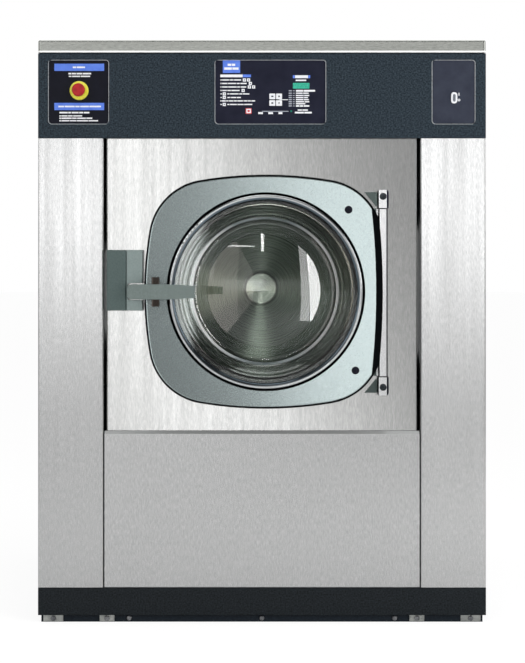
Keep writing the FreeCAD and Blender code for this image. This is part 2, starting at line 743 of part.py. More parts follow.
def estop_plate():
    hole = rod(ESTOP_X, ESTOP_Z, SLEEVE_R + SLIDE_FIT, FASCIA_T, PLATE_BACK)
    return backing_plate(ESTOP_PLATE_X, ESTOP_PLATE_W).cut(hole)


def key_places():
    """Middle of the four keys, row by row from the top left."""
    places = []
    for up in (1, -1):
        for right in (-1, 1):
            places.append((KEY_X + right * KEY_PITCH_X / 2.0, KEY_Z + up * KEY_PITCH_Z / 2.0))
    return places


def control_overlay():
    cuts = []
    for x, z in key_places() + [(STOP_KEY_X, STOP_KEY_Z)]:
        hole = rectangle(x, z, KEY_W + 2.0 * SLIDE_FIT, KEY_H + 2.0 * SLIDE_FIT, KEY_CORNER)
        cuts.append(front_plate_of(hole, FASCIA_T, PLATE_BACK))
    window = rectangle(DISPLAY_X, DISPLAY_Z, DISPLAY_W + 2.0 * SLIDE_FIT, DISPLAY_H + 2.0 * SLIDE_FIT,
                       KEY_CORNER)
    cuts.append(front_plate_of(window, FASCIA_T, PLATE_BACK))
    return backing_plate(OVERLAY_X, OVERLAY_W).cut(cuts)


def key(x, z):
    """Push key: a cap through the overlay with a lip that keeps it in."""
    cap = front_plate_of(rectangle(x, z, KEY_W, KEY_H, KEY_CORNER), KEY_ENDS[0], KEY_ENDS[1])
    lip_w, lip_h = KEY_W + 2.0 * KEY_LIP, KEY_H + 2.0 * KEY_LIP
    lip = front_plate_of(rectangle(x, z, lip_w, lip_h, KEY_CORNER), KEY_ENDS[1] - KEY_LIP_T, KEY_ENDS[1])
    return joined(cap, [lip])


def control_board():
    board = block(BOARD_X - BOARD_W / 2.0, BOARD_X + BOARD_W / 2.0, BOARD_FRONT, BOARD_FRONT + BOARD_T,
                  BOARD_Z - BOARD_H / 2.0, BOARD_Z + BOARD_H / 2.0)
    parts = []
    for side in (-1, 1):
        for up in (-1, 1):
            x = BOARD_X + side * (BOARD_W / 2.0 - BOARD_POST_INSET)
            z = BOARD_Z + up * (BOARD_H / 2.0 - BOARD_POST_INSET)
            parts.append(rod(x, z, BOARD_POST_R, PLATE_BACK, BOARD_FRONT))
    for x, z in key_places() + [(STOP_KEY_X, STOP_KEY_Z)]:
        parts.append(block(x - TACT_W / 2.0, x + TACT_W / 2.0, TACT_FRONT, BOARD_FRONT,
                           z - TACT_W / 2.0, z + TACT_W / 2.0))
    return joined(board, parts)


def display_module():
    return front_plate_of(rectangle(DISPLAY_X, DISPLAY_Z, DISPLAY_W, DISPLAY_H, KEY_CORNER),
                          DISPLAY_FRONT, BOARD_FRONT)


def estop_base():
    collar = turned([(0.0, COLLAR_FRONT), (COLLAR_R, COLLAR_FRONT, COLLAR_BEVEL), (COLLAR_R, FASCIA_T),
                     (0.0, FASCIA_T)], ESTOP_X, ESTOP_Z)
    sleeve = rod(ESTOP_X, ESTOP_Z, SLEEVE_R, FASCIA_T, PLATE_BACK)
    square = rectangle(ESTOP_X, ESTOP_Z, ESTOP_BLOCK, ESTOP_BLOCK, BEND)
    case = front_plate_of(square, PLATE_BACK, ESTOP_BLOCK_BACK)
    bore = rod(ESTOP_X, ESTOP_Z, STEM_R + RUNNING_FIT, COLLAR_FRONT, ESTOP_BORE_END)
    return joined(collar, [sleeve, case]).cut(bore)


def estop_stem():
    return rod(ESTOP_X, ESTOP_Z, STEM_R, STEM_ENDS[0], STEM_ENDS[1])


def estop_head():
    bore_end = STEM_ENDS[0] - FREE_GAP
    bore_r = STEM_R + RUNNING_FIT
    front, back = HEAD_ENDS
    profile = [(0.0, front), (HEAD_R, front, BEND * 2.0), (HEAD_R, front + HEAD_NECK_R, BEND),
               (HEAD_NECK_R, back), (bore_r, back), (bore_r, bore_end), (0.0, bore_end)]
    return turned(profile, ESTOP_X, ESTOP_Z)


def switch_plate():
    hole_w, hole_h = ROCKER_W + 2.0 * ROCKER_SIDE_GAP, ROCKER_H + 2.0 * ROCKER_END_GAP
    hole = rectangle(ROCKER_X, ROCKER_Z, hole_w, hole_h, ROCKER_ROUND + ROCKER_SIDE_GAP)
    wall = 2.0 * SWITCH_CASE_WALL
    case = rectangle(ROCKER_X, ROCKER_Z, hole_w + wall, hole_h + wall, BEND)
    plate = joined(backing_plate(SWITCH_PLATE_X, SWITCH_PLATE_W),
                   [front_plate_of(case, PLATE_BACK, SWITCH_CASE_BACK)])
    space = front_plate_of(hole, FASCIA_T, SWITCH_CASE_BACK - SWITCH_CASE_WALL)
    reach = ROCKER_W / 2.0 + TRUNNION_LEN + FREE_GAP
    bore = TRUNNION_R + RUNNING_FIT
    bearings = cross_pin(ROCKER_X - reach, ROCKER_X + reach, ROCKER_PIVOT, ROCKER_Z, bore)
    return plate.cut([space, bearings])


def main_switch():
    face = rectangle(ROCKER_X, ROCKER_Z, ROCKER_W, ROCKER_H, ROCKER_ROUND)
    body = front_plate_of(face, ROCKER_FRONT, ROCKER_BACK)
    reach = ROCKER_W / 2.0 + TRUNNION_LEN
    pins = cross_pin(ROCKER_X - reach, ROCKER_X + reach, ROCKER_PIVOT, ROCKER_Z, TRUNNION_R)
    rocker = joined(body, [pins])
    rocker.rotate(V(ROCKER_X, depth(ROCKER_PIVOT), ROCKER_Z), V(1, 0, 0), ROCKER_TILT)
    return rocker


# Suspended front plate and tub

def front_plate():
    x = FRONT_PLATE_X
    back = SET_BACK + FRONT_PLATE_RETURN
    face = SET_BACK + SHEET
    profile = [(-x, back), (-x, SET_BACK, BEND + SHEET), (x, SET_BACK, BEND + SHEET), (x, back),
               (x - SHEET, back), (x - SHEET, face, BEND), (-x + SHEET, face, BEND), (-x + SHEET, back)]
    sheet = plan_of(profile, FRONT_PLATE_Z[0], FRONT_PLATE_Z[1])
    return sheet.cut(rod(DOOR_X, DOOR_Z, MOUTH_R, SET_BACK, face))


def outer_tub():
    mouth = NECK_R + TUB_WALL
    inside = TUB_R - TUB_WALL
    head = TUB_FRONT + TUB_WALL
    start = SET_BACK + SHEET
    wall = TUB_BACK - TUB_BACK_T
    profile = [(NECK_R, start), (mouth, start), (mouth, TUB_FRONT), (TUB_R, TUB_FRONT, TUB_GAP),
               (TUB_R, TUB_BACK), (TUB_SHAFT_R, TUB_BACK), (TUB_SHAFT_R, wall), (inside, wall),
               (inside, head, TUB_GAP - TUB_WALL), (NECK_R, head)]
    tub = turned(profile, DOOR_X, DOOR_Z)
    crown = DOOR_Z + inside
    funnel = post(DOOR_X, FUNNEL_DEPTH, FUNNEL_R, DOOR_Z, FUNNEL_TOP)
    funnel = funnel.cut(rod(DOOR_X, DOOR_Z, inside + TUB_WALL / 2.0, FUNNEL_DEPTH - FUNNEL_R,
                            FUNNEL_DEPTH + FUNNEL_R))
    neck = post(DOOR_X, DRAIN_DEPTH, DRAIN_R, DRAIN_NECK_Z, DOOR_Z)
    neck = neck.cut(rod(DOOR_X, DOOR_Z, inside + TUB_WALL / 2.0, DRAIN_DEPTH - DRAIN_R,
                        DRAIN_DEPTH + DRAIN_R))
    inlet = post(DOOR_X, FUNNEL_DEPTH, FUNNEL_BORE_R, crown - TUB_GAP, FUNNEL_TOP)
    outlet = post(DOOR_X, DRAIN_DEPTH, DRAIN_BORE_R, DRAIN_NECK_Z, DOOR_Z - inside + TUB_GAP)
    return joined(tub, [funnel, neck]).cut([inlet, outlet])


def tub_cradle():
    low, high = CRADLE_Z
    beam = block(CRADLE_X[0], CRADLE_X[1], CRADLE_ENDS[0], CRADLE_ENDS[1], low, high)
    hollow = block(CRADLE_X[0] + RAIL_WALL, CRADLE_X[1] - RAIL_WALL, CRADLE_ENDS[0], CRADLE_ENDS[1],
                   low + RAIL_WALL, high - RAIL_WALL)
    beam = beam.cut(hollow)
    pieces = [mirrored(beam)]
    for d0, d1 in (FRONT_CROSSBAR, MOTOR_PLATE):
        pieces.append(block(-CRADLE_X[1], CRADLE_X[1], d0, d1, high, high + CROSSBAR_T))
    for d in SADDLE_STARTS:
        saddle = block(-SADDLE_HALF_W, SADDLE_HALF_W, d, d + SADDLE_T, high, SADDLE_TOP)
        pieces.append(saddle.cut(rod(DOOR_X, DOOR_Z, TUB_R, d, d + SADDLE_T)))
    return joined(beam, pieces)


def bearing_housing():
    flange_back = TUB_BACK + HOUSING_FLANGE_T
    seal_end = SEAL_ENDS[1]
    profile = [(SEAL_SEAT_R, TUB_BACK), (HOUSING_FLANGE_R, TUB_BACK), (HOUSING_FLANGE_R, flange_back),
               (HOUSING_FRONT_R, flange_back), (HOUSING_REAR_R, HOUSING_BACK), (REAR_SEAT_R, HOUSING_BACK),
               (REAR_SEAT_R, REAR_RACE[0]), (MID_BORE_R, REAR_RACE[0]), (MID_BORE_R, FRONT_RACE[1]),
               (FRONT_SEAT_R, FRONT_RACE[1]), (FRONT_SEAT_R, seal_end), (SEAL_SEAT_R, seal_end)]
    barrel = turned(profile, DOOR_X, DOOR_Z)
    root = DOOR_Z + FRONT_SEAT_R + RIB_T
    foot = flange_back - RIB_T / 2.0
    corners = [(foot, root), (foot, DOOR_Z + HOUSING_FLANGE_R - RIB_T), (HOUSING_BACK - RIB_T, root)]
    rib = section_of(corners, DOOR_X - RIB_T / 2.0, DOOR_X + RIB_T / 2.0)
    ribs = []
    for i in range(RIB_COUNT):
        turn = rib.copy()
        turn.rotate(V(DOOR_X, 0, DOOR_Z), V(0, 1, 0), 360.0 * i / RIB_COUNT)
        ribs.append(turn)
    return joined(barrel, ribs)


def bearing(outer, inner, ends):
    """Bearing ring with a groove in each face between its races."""
    middle = (outer + inner) / 2.0
    half = (outer - inner) / RACE_SHARE / 2.0
    d0, d1 = ends
    dip = RACE_GROOVE
    profile = [(inner, d0), (middle - half, d0), (middle - half, d0 + dip), (middle + half, d0 + dip),
               (middle + half, d0), (outer, d0), (outer, d1), (middle + half, d1), (middle + half, d1 - dip),
               (middle - half, d1 - dip), (middle - half, d1), (inner, d1)]
    return turned(profile, DOOR_X, DOOR_Z)


def shaft_bearings():
    front = bearing(FRONT_SEAT_R, SHAFT_FRONT_R + RUNNING_FIT, FRONT_RACE)
    rear = bearing(REAR_SEAT_R, SHAFT_REAR_R + RUNNING_FIT, REAR_RACE)
    return Part.makeCompound([front, rear])


def shaft_seal():
    inner = SHAFT_FRONT_R + SEAL_LIP_GAP
    d0, d1 = SEAL_ENDS
    profile = [(inner, d0), (SEAL_SEAT_R, d0), (SEAL_SEAT_R, d1), (inner, d1)]
    return turned(profile, DOOR_X, DOOR_Z)


# Drum, shaft and drive

def drum_shell():
    inner = DRUM_R - DRUM_WALL
    wall = DRUM_BACK - DRUM_BACK_T
    front = DRUM_FRONT + DRUM_WALL
    lip = DRUM_FRONT + DRUM_LIP
    mouth = MOUTH_R + DRUM_WALL
    profile = [(MOUTH_R, DRUM_FRONT, DRUM_WALL), (DRUM_R, DRUM_FRONT, TUB_GAP), (DRUM_R, DRUM_BACK),
               (0.0, DRUM_BACK), (0.0, wall), (inner, wall), (inner, front, TUB_GAP - DRUM_WALL),
               (mouth, front), (mouth, lip), (MOUTH_R, lip)]
    return turned(profile, DOOR_X, DOOR_Z)


def lifter(angle):
    """Hollow folded rib along the drum, open against the drum wall."""
    inner = DRUM_R - DRUM_WALL
    tip = inner - LIFTER_H
    w = LIFTER_WALL
    d0, d1 = LIFTER_ENDS
    base, top = LIFTER_BASE / 2.0, LIFTER_TIP / 2.0
    solid = front_plate_of([(DOOR_X - base, DOOR_Z + DRUM_R),
                            (DOOR_X - top, DOOR_Z + tip, LIFTER_ROUND),
                            (DOOR_X + top, DOOR_Z + tip, LIFTER_ROUND),
                            (DOOR_X + base, DOOR_Z + DRUM_R)], d0, d1)
    space = front_plate_of([(DOOR_X - base + w, DOOR_Z + DRUM_R),
                            (DOOR_X - top + w, DOOR_Z + tip + w, LIFTER_ROUND - w),
                            (DOOR_X + top - w, DOOR_Z + tip + w, LIFTER_ROUND - w),
                            (DOOR_X + base - w, DOOR_Z + DRUM_R)], d0 + w, d1 - w)
    rib = solid.cut(space).common(rod(DOOR_X, DOOR_Z, inner, d0, d1))
    rib.rotate(V(DOOR_X, 0, DOOR_Z), V(0, 1, 0), 90.0 - angle)
    return rib


def drum_lifters():
    return Part.makeCompound([lifter(angle) for angle in LIFTER_ANGLES])


def drum_shaft():
    flange_end = DRUM_BACK + SHAFT_FLANGE_T
    step = FRONT_RACE[1] + BEND
    rear = REAR_RACE[0] - BEND
    profile = [(0.0, DRUM_BACK), (SHAFT_FLANGE_R, DRUM_BACK), (SHAFT_FLANGE_R, flange_end),
               (SHAFT_FRONT_R, flange_end), (SHAFT_FRONT_R, step), (SHAFT_MID_R, step), (SHAFT_MID_R, rear),
               (SHAFT_REAR_R, rear), (SHAFT_REAR_R, HOUSING_BACK), (SHAFT_END_R, HOUSING_BACK),
               (SHAFT_END_R, SHAFT_END), (0.0, SHAFT_END)]
    return turned(profile, DOOR_X, DOOR_Z)


def hub_cap():
    wall = DRUM_BACK - DRUM_BACK_T
    face = wall - HUB_H
    return turned([(0.0, face), (HUB_FACE_R, face, BEND), (HUB_R, wall), (0.0, wall)], DOOR_X, DOOR_Z)


def drum_pulley():
    bore = SHAFT_END_R
    rim = DRUM_PULLEY_R - PULLEY_RIM
    middle = (PULLEY_ENDS[0] + PULLEY_ENDS[1]) / 2.0
    web0, web1 = middle - PULLEY_WEB_T / 2.0, middle + PULLEY_WEB_T / 2.0
    hub0, hub1 = PULLEY_HUB_ENDS
    d0, d1 = PULLEY_ENDS
    profile = [(bore, hub0), (PULLEY_HUB_R, hub0), (PULLEY_HUB_R, web0), (rim, web0), (rim, d0),
               (DRUM_PULLEY_R, d0), (DRUM_PULLEY_R, d1), (rim, d1), (rim, web1), (PULLEY_HUB_R, web1),
               (PULLEY_HUB_R, hub1), (bore, hub1)]
    holes = []
    for i in range(PULLEY_HOLES):
        turn = 2.0 * math.pi * i / PULLEY_HOLES
        x = DOOR_X + PULLEY_HOLE_RING * math.cos(turn)
        z = DOOR_Z + PULLEY_HOLE_RING * math.sin(turn)
        holes.append(rod(x, z, PULLEY_HOLE_R, web0, web1))
    return turned(profile, DOOR_X, DOOR_Z).cut(holes)


def belt_loop(clearance):
    """Solid loop round both pulleys, its edge this far outside them."""
    dx, dz = MOTOR_X - DOOR_X, MOTOR_Z - DOOR_Z
    span = math.hypot(dx, dz)
    big, small = DRUM_PULLEY_R + clearance, MOTOR_PULLEY_R + clearance
    heading = math.atan2(dz, dx)
    swing = math.acos((big - small) / span)
    front = depth(BELT_ENDS[0])
    sides = []
    for turn in (heading - swing, heading + swing):
        nx, nz = math.cos(turn), math.sin(turn)
        sides.append((V(DOOR_X + big * nx, front, DOOR_Z + big * nz),
                      V(MOTOR_X + small * nx, front, MOTOR_Z + small * nz)))
    far_big = V(DOOR_X - big * math.cos(heading), front, DOOR_Z - big * math.sin(heading))
    far_small = V(MOTOR_X + small * math.cos(heading), front, MOTOR_Z + small * math.sin(heading))
    edges = [Part.makeLine(sides[0][0], sides[0][1]),
             Part.Arc(sides[0][1], far_small, sides[1][1]).toShape(),
             Part.makeLine(sides[1][1], sides[1][0]),
             Part.Arc(sides[1][0], far_big, sides[0][0]).toShape()]
    return Part.Face(Part.Wire(edges)).extrude(V(0, BELT_ENDS[1] - BELT_ENDS[0], 0))


def drive_belt():
    return belt_loop(FREE_GAP + BELT_T).cut(belt_loop(FREE_GAP))


def motor_body():
    d0, d1 = MOTOR_ENDS
    fit = ROTOR_SHAFT_R + RUNNING_FIT
    profile = [(fit, d0), (MOTOR_R - MOTOR_FIN_H, d0), (MOTOR_R - MOTOR_FIN_H, d1), (fit, d1),
               (fit, d1 - MOTOR_BELL_T), (MOTOR_BORE_R, d1 - MOTOR_BELL_T), (MOTOR_BORE_R, d0 + MOTOR_BELL_T),
               (fit, d0 + MOTOR_BELL_T)]
    case = turned(profile, MOTOR_X, MOTOR_Z)
    extras = []
    for i in range(MOTOR_FINS):
        side = MOTOR_FIN_T / 2.0
        fin = block(MOTOR_X - side, MOTOR_X + side, d0 + MOTOR_BELL_T, d1 - MOTOR_BELL_T,
                    MOTOR_Z - MOTOR_R, MOTOR_Z - MOTOR_BORE_R - MOTOR_FIN_H)
        turn = 180.0 * i / (MOTOR_FINS - 1) - 90.0
        fin.rotate(V(MOTOR_X, 0, MOTOR_Z), V(0, 1, 0), turn)
        extras.append(fin)
    half = MOTOR_FOOT_W / 2.0
    for start in (d0 + MOTOR_BELL_T, d1 - MOTOR_BELL_T - MOTOR_FOOT_LEN):
        foot = block(MOTOR_X - half, MOTOR_X + half, start, start + MOTOR_FOOT_LEN, MOTOR_Z, CRADLE_Z[1])
        core = rod(MOTOR_X, MOTOR_Z, MOTOR_R - 2.0 * MOTOR_FIN_H, start, start + MOTOR_FOOT_LEN)
        extras.append(foot.cut(core))
    return joined(case, extras)


def motor_rotor():
    inset = MOTOR_BELL_T + ROTOR_END_GAP
    d0, d1 = MOTOR_ENDS[0] + inset, MOTOR_ENDS[1] - inset
    nose = MOTOR_ENDS[0]
    profile = [(0.0, nose), (ROTOR_SHAFT_R, nose), (ROTOR_SHAFT_R, d0), (ROTOR_R, d0), (ROTOR_R, d1),
               (ROTOR_SHAFT_R, d1), (ROTOR_SHAFT_R, ROTOR_SHAFT_END), (0.0, ROTOR_SHAFT_END)]
    return turned(profile, MOTOR_X, MOTOR_Z)


def motor_pulley():
    d0, d1 = MOTOR_PULLEY_ENDS
    profile = [(ROTOR_SHAFT_R, d0), (MOTOR_PULLEY_R, d0), (MOTOR_PULLEY_R, d1), (ROTOR_SHAFT_R, d1)]
    return turned(profile, MOTOR_X, MOTOR_Z)


# Suspension springs and dampers

def suspension_places(x):
    """The four places at this distance left and right of the middle."""
    return [(side * x, d) for side in (-1, 1) for d in SUSPENSION_DEPTHS]


def suspension_springs():
    low = BASE_H + SPRING_WIRE_R
    travel = CRADLE_Z[0] - FREE_GAP - SPRING_WIRE_R - low
    path = Part.makeHelix(travel / SPRING_TURNS, travel, SPRING_R)
    profile = Part.Wire(Part.makeCircle(SPRING_WIRE_R, V(SPRING_R, 0, 0), V(0, 1, 0)))
    coil = Part.Wire(path.Edges).makePipeShell([profile], True, True)
    springs = []
    for x, d in suspension_places(SPRING_X):
        spring = coil.copy()
        spring.translate(V(x, depth(d), low))
        springs.append(spring)
    return Part.makeCompound(springs)


def damper_bodies():
    bodies = []
    for x, d in suspension_places(DAMPER_X):
        body = post(x, d, DAMPER_R, BASE_H, DAMPER_TOP)
        bodies.append(body.cut(post(x, d, DAMPER_ROD_R + RUNNING_FIT, DAMPER_BORE_Z, DAMPER_TOP)))
    return Part.makeCompound(bodies)


def damper_rods():
    places = suspension_places(DAMPER_X)
    return Part.makeCompound([post(x, d, DAMPER_ROD_R, DAMPER_ROD_Z, CRADLE_Z[1]) for x, d in places])


# Door: cast frame, glass bowl, ring and hinge

def door_outline():
    """Bowed square: one wide arc for each side and a tangent arc at each corner."""
    side = (DOOR_HALF_W - DOOR_SIDE_R, 0.0)
    top = (0.0, DOOR_HALF_H - DOOR_TOP_R)
    near, far = DOOR_SIDE_R - DOOR_CORNER_R, DOOR_TOP_R - DOOR_CORNER_R
    span = math.hypot(top[0] - side[0], top[1] - side[1])
    along = unit(side, top)
    run = (near * near - far * far + span * span) / (2.0 * span)
    rise = math.sqrt(near * near - run * run)
    cx = side[0] + along[0] * run - along[1] * rise
    cz = side[1] + along[1] * run + along[0] * rise
    to_side = unit(side, (cx, cz))
    to_top = unit(top, (cx, cz))
    start = (side[0] + to_side[0] * DOOR_SIDE_R, side[1] + to_side[1] * DOOR_SIDE_R)
    end = (top[0] + to_top[0] * DOOR_TOP_R, top[1] + to_top[1] * DOOR_TOP_R)
    bisect = unit((0.0, 0.0), (to_side[0] + to_top[0], to_side[1] + to_top[1]))
    middle = (cx + bisect[0] * DOOR_CORNER_R, cz + bisect[1] * DOOR_CORNER_R)

    def at(point, sx, sz):
        return V(DOOR_X + sx * point[0], depth(DOOR_FRONT), DOOR_Z + sz * point[1])

    edges = []
    for sx, sz in ((1, 1), (-1, 1), (-1, -1), (1, -1)):
        edges.append(Part.Arc(at(start, sx, sz), at(middle, sx, sz), at(end, sx, sz)).toShape())
    for sx in (1, -1):
        edges.append(Part.Arc(at(start, sx, -1), at((DOOR_HALF_W, 0.0), sx, 1), at(start, sx, 1)).toShape())
    for sz in (1, -1):
        edges.append(Part.Arc(at(end, -1, sz), at((0.0, DOOR_HALF_H), 1, sz), at(end, 1, sz)).toShape())
    return Part.Wire(Part.__sortEdges__(edges))


def front_edges(shape):
    """Edges that lie in the front face of the door."""
    return [e for e in shape.Edges if e.BoundBox.YMax < depth(DOOR_FRONT) + RUNNING_FIT]


def door_frame():
    plate = Part.Face(door_outline()).extrude(V(0, DOOR_BACK - DOOR_FRONT, 0))
    right = rod(DOOR_X + DOOR_RIGHT - DOOR_RIGHT_R, DOOR_Z, DOOR_RIGHT_R, DOOR_FRONT, DOOR_BACK)
    plate = plate.common(right)
    hinge_side = [e for e in front_edges(plate) if e.BoundBox.XMin > DOOR_X + DOOR_RIGHT - DOOR_RIGHT_SPAN
                  and abs(e.BoundBox.Center.z - DOOR_Z) < DOOR_EDGE_R]
    plate = plate.makeChamfer(DOOR_RIGHT_BEVEL[0], DOOR_RIGHT_BEVEL[1], hinge_side)
    edge = [e for e in front_edges(plate) if e.BoundBox.Center.x < DOOR_X + RING_INNER_R]
    plate = plate.makeFillet(DOOR_EDGE_R, edge)
    hole = turned([(0.0, DOOR_FRONT), (DOOR_HOLE_R + DOOR_HOLE_BEVEL, DOOR_FRONT),
                   (DOOR_HOLE_R, DOOR_FRONT + DOOR_HOLE_BEVEL), (DOOR_HOLE_R, GLASS_SEAT[1]),
                   (LEDGE_R, GLASS_SEAT[1]), (LEDGE_R, DOOR_BACK), (0.0, DOOR_BACK)], DOOR_X, DOOR_Z)
    bar_left = HINGE_X - BAR_HALF_W - BAR_CLEAR
    bar_space = block(bar_left, HINGE_X, -BAR_HALF_D - BAR_CLEAR, DOOR_BACK,
                      BAR_Z[0] - BLOCK_H, BAR_Z[1] + BLOCK_H)
    cuts = [hole, bar_space]
    for x, z in DOOR_BOLTS:
        cuts.append(rod(x, z, DOOR_BOLT_R + FREE_GAP, DOOR_FRONT, DOOR_FRONT + DOOR_BOLT_HEAD))
        cuts.append(rod(x, z, DOOR_BOLT_SHANK_R + FREE_GAP, DOOR_FRONT, DOOR_BACK))
    plate = plate.cut(cuts)
    ears = []
    for side in (-1, 1):
        inner = DOOR_Z + side * (LEVER_H / 2.0 + EAR_GAP)
        z0, z1 = min(inner, inner + side * EAR_H), max(inner, inner + side * EAR_H)
        left, right = PIVOT_X - EAR_HALF_W, PIVOT_X + EAR_HALF_W
        ear = plan_of([(left, DOOR_FRONT), (left, EAR_FRONT, BEND * 2.0), (right, EAR_FRONT, BEND * 2.0),
                       (right, DOOR_FRONT)], z0, z1)
        ears.append(ear.cut(post(PIVOT_X, PIVOT_DEPTH, LEVER_PIN_R + RUNNING_FIT, z0, z1)))
    return joined(plate, ears)


def glass_ring():
    outer = DOOR_HOLE_R - FREE_GAP
    profile = [(RING_INNER_R, RING_FRONT, RING_ROUND), (outer, RING_FRONT, RING_ROUND),
               (outer, GLASS_SEAT[0]), (RING_INNER_R, GLASS_SEAT[0])]
    return turned(profile, DOOR_X, DOOR_Z)


def door_glass():
    t = GLASS_T
    profile = [(0.0, GLASS_DEPTH - t), (GLASS_FOOT_R - t, GLASS_DEPTH - t, GLASS_ROUND - t),
               (GLASS_NECK_R - t, GLASS_SEAT[0]), (GLASS_RIM_R, GLASS_SEAT[0]), (GLASS_RIM_R, GLASS_SEAT[1]),
               (GLASS_NECK_R, GLASS_SEAT[1]), (GLASS_FOOT_R, GLASS_DEPTH, GLASS_ROUND), (0.0, GLASS_DEPTH)]
    bowl = turned(profile, DOOR_X, DOOR_Z)
    crown = GLASS_DEPTH - t - GLASS_CROWN
    sphere_r = (GLASS_DOME_R * GLASS_DOME_R + GLASS_CROWN * GLASS_CROWN) / (2.0 * GLASS_CROWN)
    middle = V(DOOR_X, depth(crown + sphere_r), DOOR_Z)
    dome = Part.makeSphere(sphere_r, middle).common(rod(DOOR_X, DOOR_Z, GLASS_DOME_R, crown, GLASS_DEPTH))
    return joined(bowl, [dome]).cut(Part.makeSphere(sphere_r - t, middle))


def door_gasket():
    front = DOOR_BACK + FREE_GAP
    inner, outer = GASKET_R
    profile = [(inner, front, BEND), (outer, front, BEND), (outer, SET_BACK), (inner, SET_BACK)]
    return turned(profile, DOOR_X, DOOR_Z)


def hexagon(x, z, radius):
    """Corners of a hexagon about its middle."""
    turns = [math.pi * i / 3.0 for i in range(6)]
    return [(x + radius * math.cos(turn), z + radius * math.sin(turn)) for turn in turns]


def socket_bolt(x, z, radius, face, head, shank_end):
    """Round bolt with a hexagon socket and a plain shank."""
    bolt = rod(x, z, radius, face, face + head)
    bolt = bolt.cut(front_plate_of(hexagon(x, z, SOCKET_R), face, face + SOCKET_DEPTH))
    return joined(bolt, [rod(x, z, DOOR_BOLT_SHANK_R, face + head, shank_end)])


def door_bolts():
    bolts = [socket_bolt(x, z, DOOR_BOLT_R, DOOR_FRONT, DOOR_BOLT_HEAD, ARM_FACE) for x, z in DOOR_BOLTS]
    return Part.makeCompound(bolts)


def hinge_bar():
    half = BAR_HALF_W
    bar = plan_of([(HINGE_X - half, -BAR_HALF_D, BAR_EDGE), (HINGE_X + half, -BAR_HALF_D, BAR_EDGE),
                   (HINGE_X + half, BAR_HALF_D, BAR_EDGE), (HINGE_X - half, BAR_HALF_D)], BAR_Z[0], BAR_Z[1])
    pieces = []
    for z0 in (BAR_Z[0] + BEND, BAR_Z[1] - ARM_H):
        pieces.append(block(HINGE_X - half, HINGE_X, BAR_HALF_D, ARM_FACE, z0, z0 + ARM_H))
        pieces.append(block(ARM_PAD_X, HINGE_X, DOOR_BACK, ARM_FACE, z0, z0 + ARM_H))
        pieces.append(block(ARM_X, ARM_PAD_X, DOOR_BACK, ARM_FACE, z0, z0 + ARM_PAD_H))
    cuts = [rod(DOOR_X, DOOR_Z, GASKET_R[1] + BEND, DOOR_BACK, ARM_FACE),
            post(HINGE_X, 0.0, SPIGOT_R + RUNNING_FIT, BAR_Z[0], BAR_Z[0] + SPIGOT_LEN),
            post(HINGE_X, 0.0, SPIGOT_R + RUNNING_FIT, BAR_Z[1] - SPIGOT_LEN, BAR_Z[1])]
    for x, z in DOOR_BOLTS:
        cuts.append(rod(x, z, DOOR_BOLT_SHANK_R + FREE_GAP, DOOR_BACK, ARM_FACE))
    return joined(bar, pieces).cut(cuts)


def hinge_bolt_place(low):
    """Height of the bolt in the lower or the upper hinge block."""
    if low:
        return BAR_Z[0] - HINGE_END_GAP - HINGE_BOLT_DROP - HINGE_BOLT_R
    return BAR_Z[1] + HINGE_END_GAP + BLOCK_H - HINGE_BOLT_DROP


def hinge_block(low):
    half = BLOCK_HALF_W
    z0 = BAR_Z[0] - HINGE_END_GAP - BLOCK_H if low else BAR_Z[1] + HINGE_END_GAP
    body = plan_of([(HINGE_X - half, BLOCK_FRONT, BLOCK_EDGE), (HINGE_X + half, BLOCK_FRONT, BLOCK_EDGE),
                    (HINGE_X + half, SET_BACK), (HINGE_X - half, SET_BACK)], z0, z0 + BLOCK_H)
    joint_end, free_end = (z0 + BLOCK_H, z0) if low else (z0, z0 + BLOCK_H)
    body = body.common(front_plate_of([(HINGE_X - half, joint_end), (HINGE_X + half, joint_end),
                                       (HINGE_X + half, free_end, BLOCK_CORNER),
                                       (HINGE_X - half, free_end, BLOCK_CORNER)], BLOCK_FRONT, SET_BACK))
    bottom, top = z0 + WEDGE_TRIM, z0 + BLOCK_H - WEDGE_TRIM
    near, far = (top, bottom) if low else (bottom, top)
    edge = HINGE_X - half
    corners = [(edge, near), (edge, far), (HINGE_X - WEDGE_REACH, far)]
    wedge = front_plate_of(corners, SET_BACK - WEDGE_T, SET_BACK)
    if low:
        spigot = post(HINGE_X, 0.0, SPIGOT_R, z0 + BLOCK_H, z0 + BLOCK_H + SPIGOT_LEN)
    else:
        spigot = post(HINGE_X, 0.0, SPIGOT_R, z0 - SPIGOT_LEN, z0)
    bolt_z = hinge_bolt_place(low)
    seat = rod(HINGE_X, bolt_z, HINGE_BOLT_R + FREE_GAP, BLOCK_FRONT, BLOCK_FRONT + HINGE_BOLT_DEPTH)
    hole = rod(HINGE_X, bolt_z, DOOR_BOLT_SHANK_R + FREE_GAP, BLOCK_FRONT, SET_BACK)
    return joined(body, [wedge, spigot]).cut([seat, hole])


def hinge_blocks():
    return Part.makeCompound([hinge_block(True), hinge_block(False)])


def hinge_bolts():
    bolts = []
    for low in (True, False):
        z = hinge_bolt_place(low)
        bolts.append(socket_bolt(HINGE_X, z, HINGE_BOLT_R, BLOCK_FRONT, HINGE_BOLT_DEPTH, SET_BACK))
    return Part.makeCompound(bolts)


# Latch, lock bolt and handle

def rounded_front(shape):
    """Latch casting with its front edges rounded."""
    edges = [e for e in shape.Edges if e.BoundBox.YMax < depth(LATCH_FRONT) + RUNNING_FIT]
    return shape.makeFillet(LATCH_EDGE, edges)


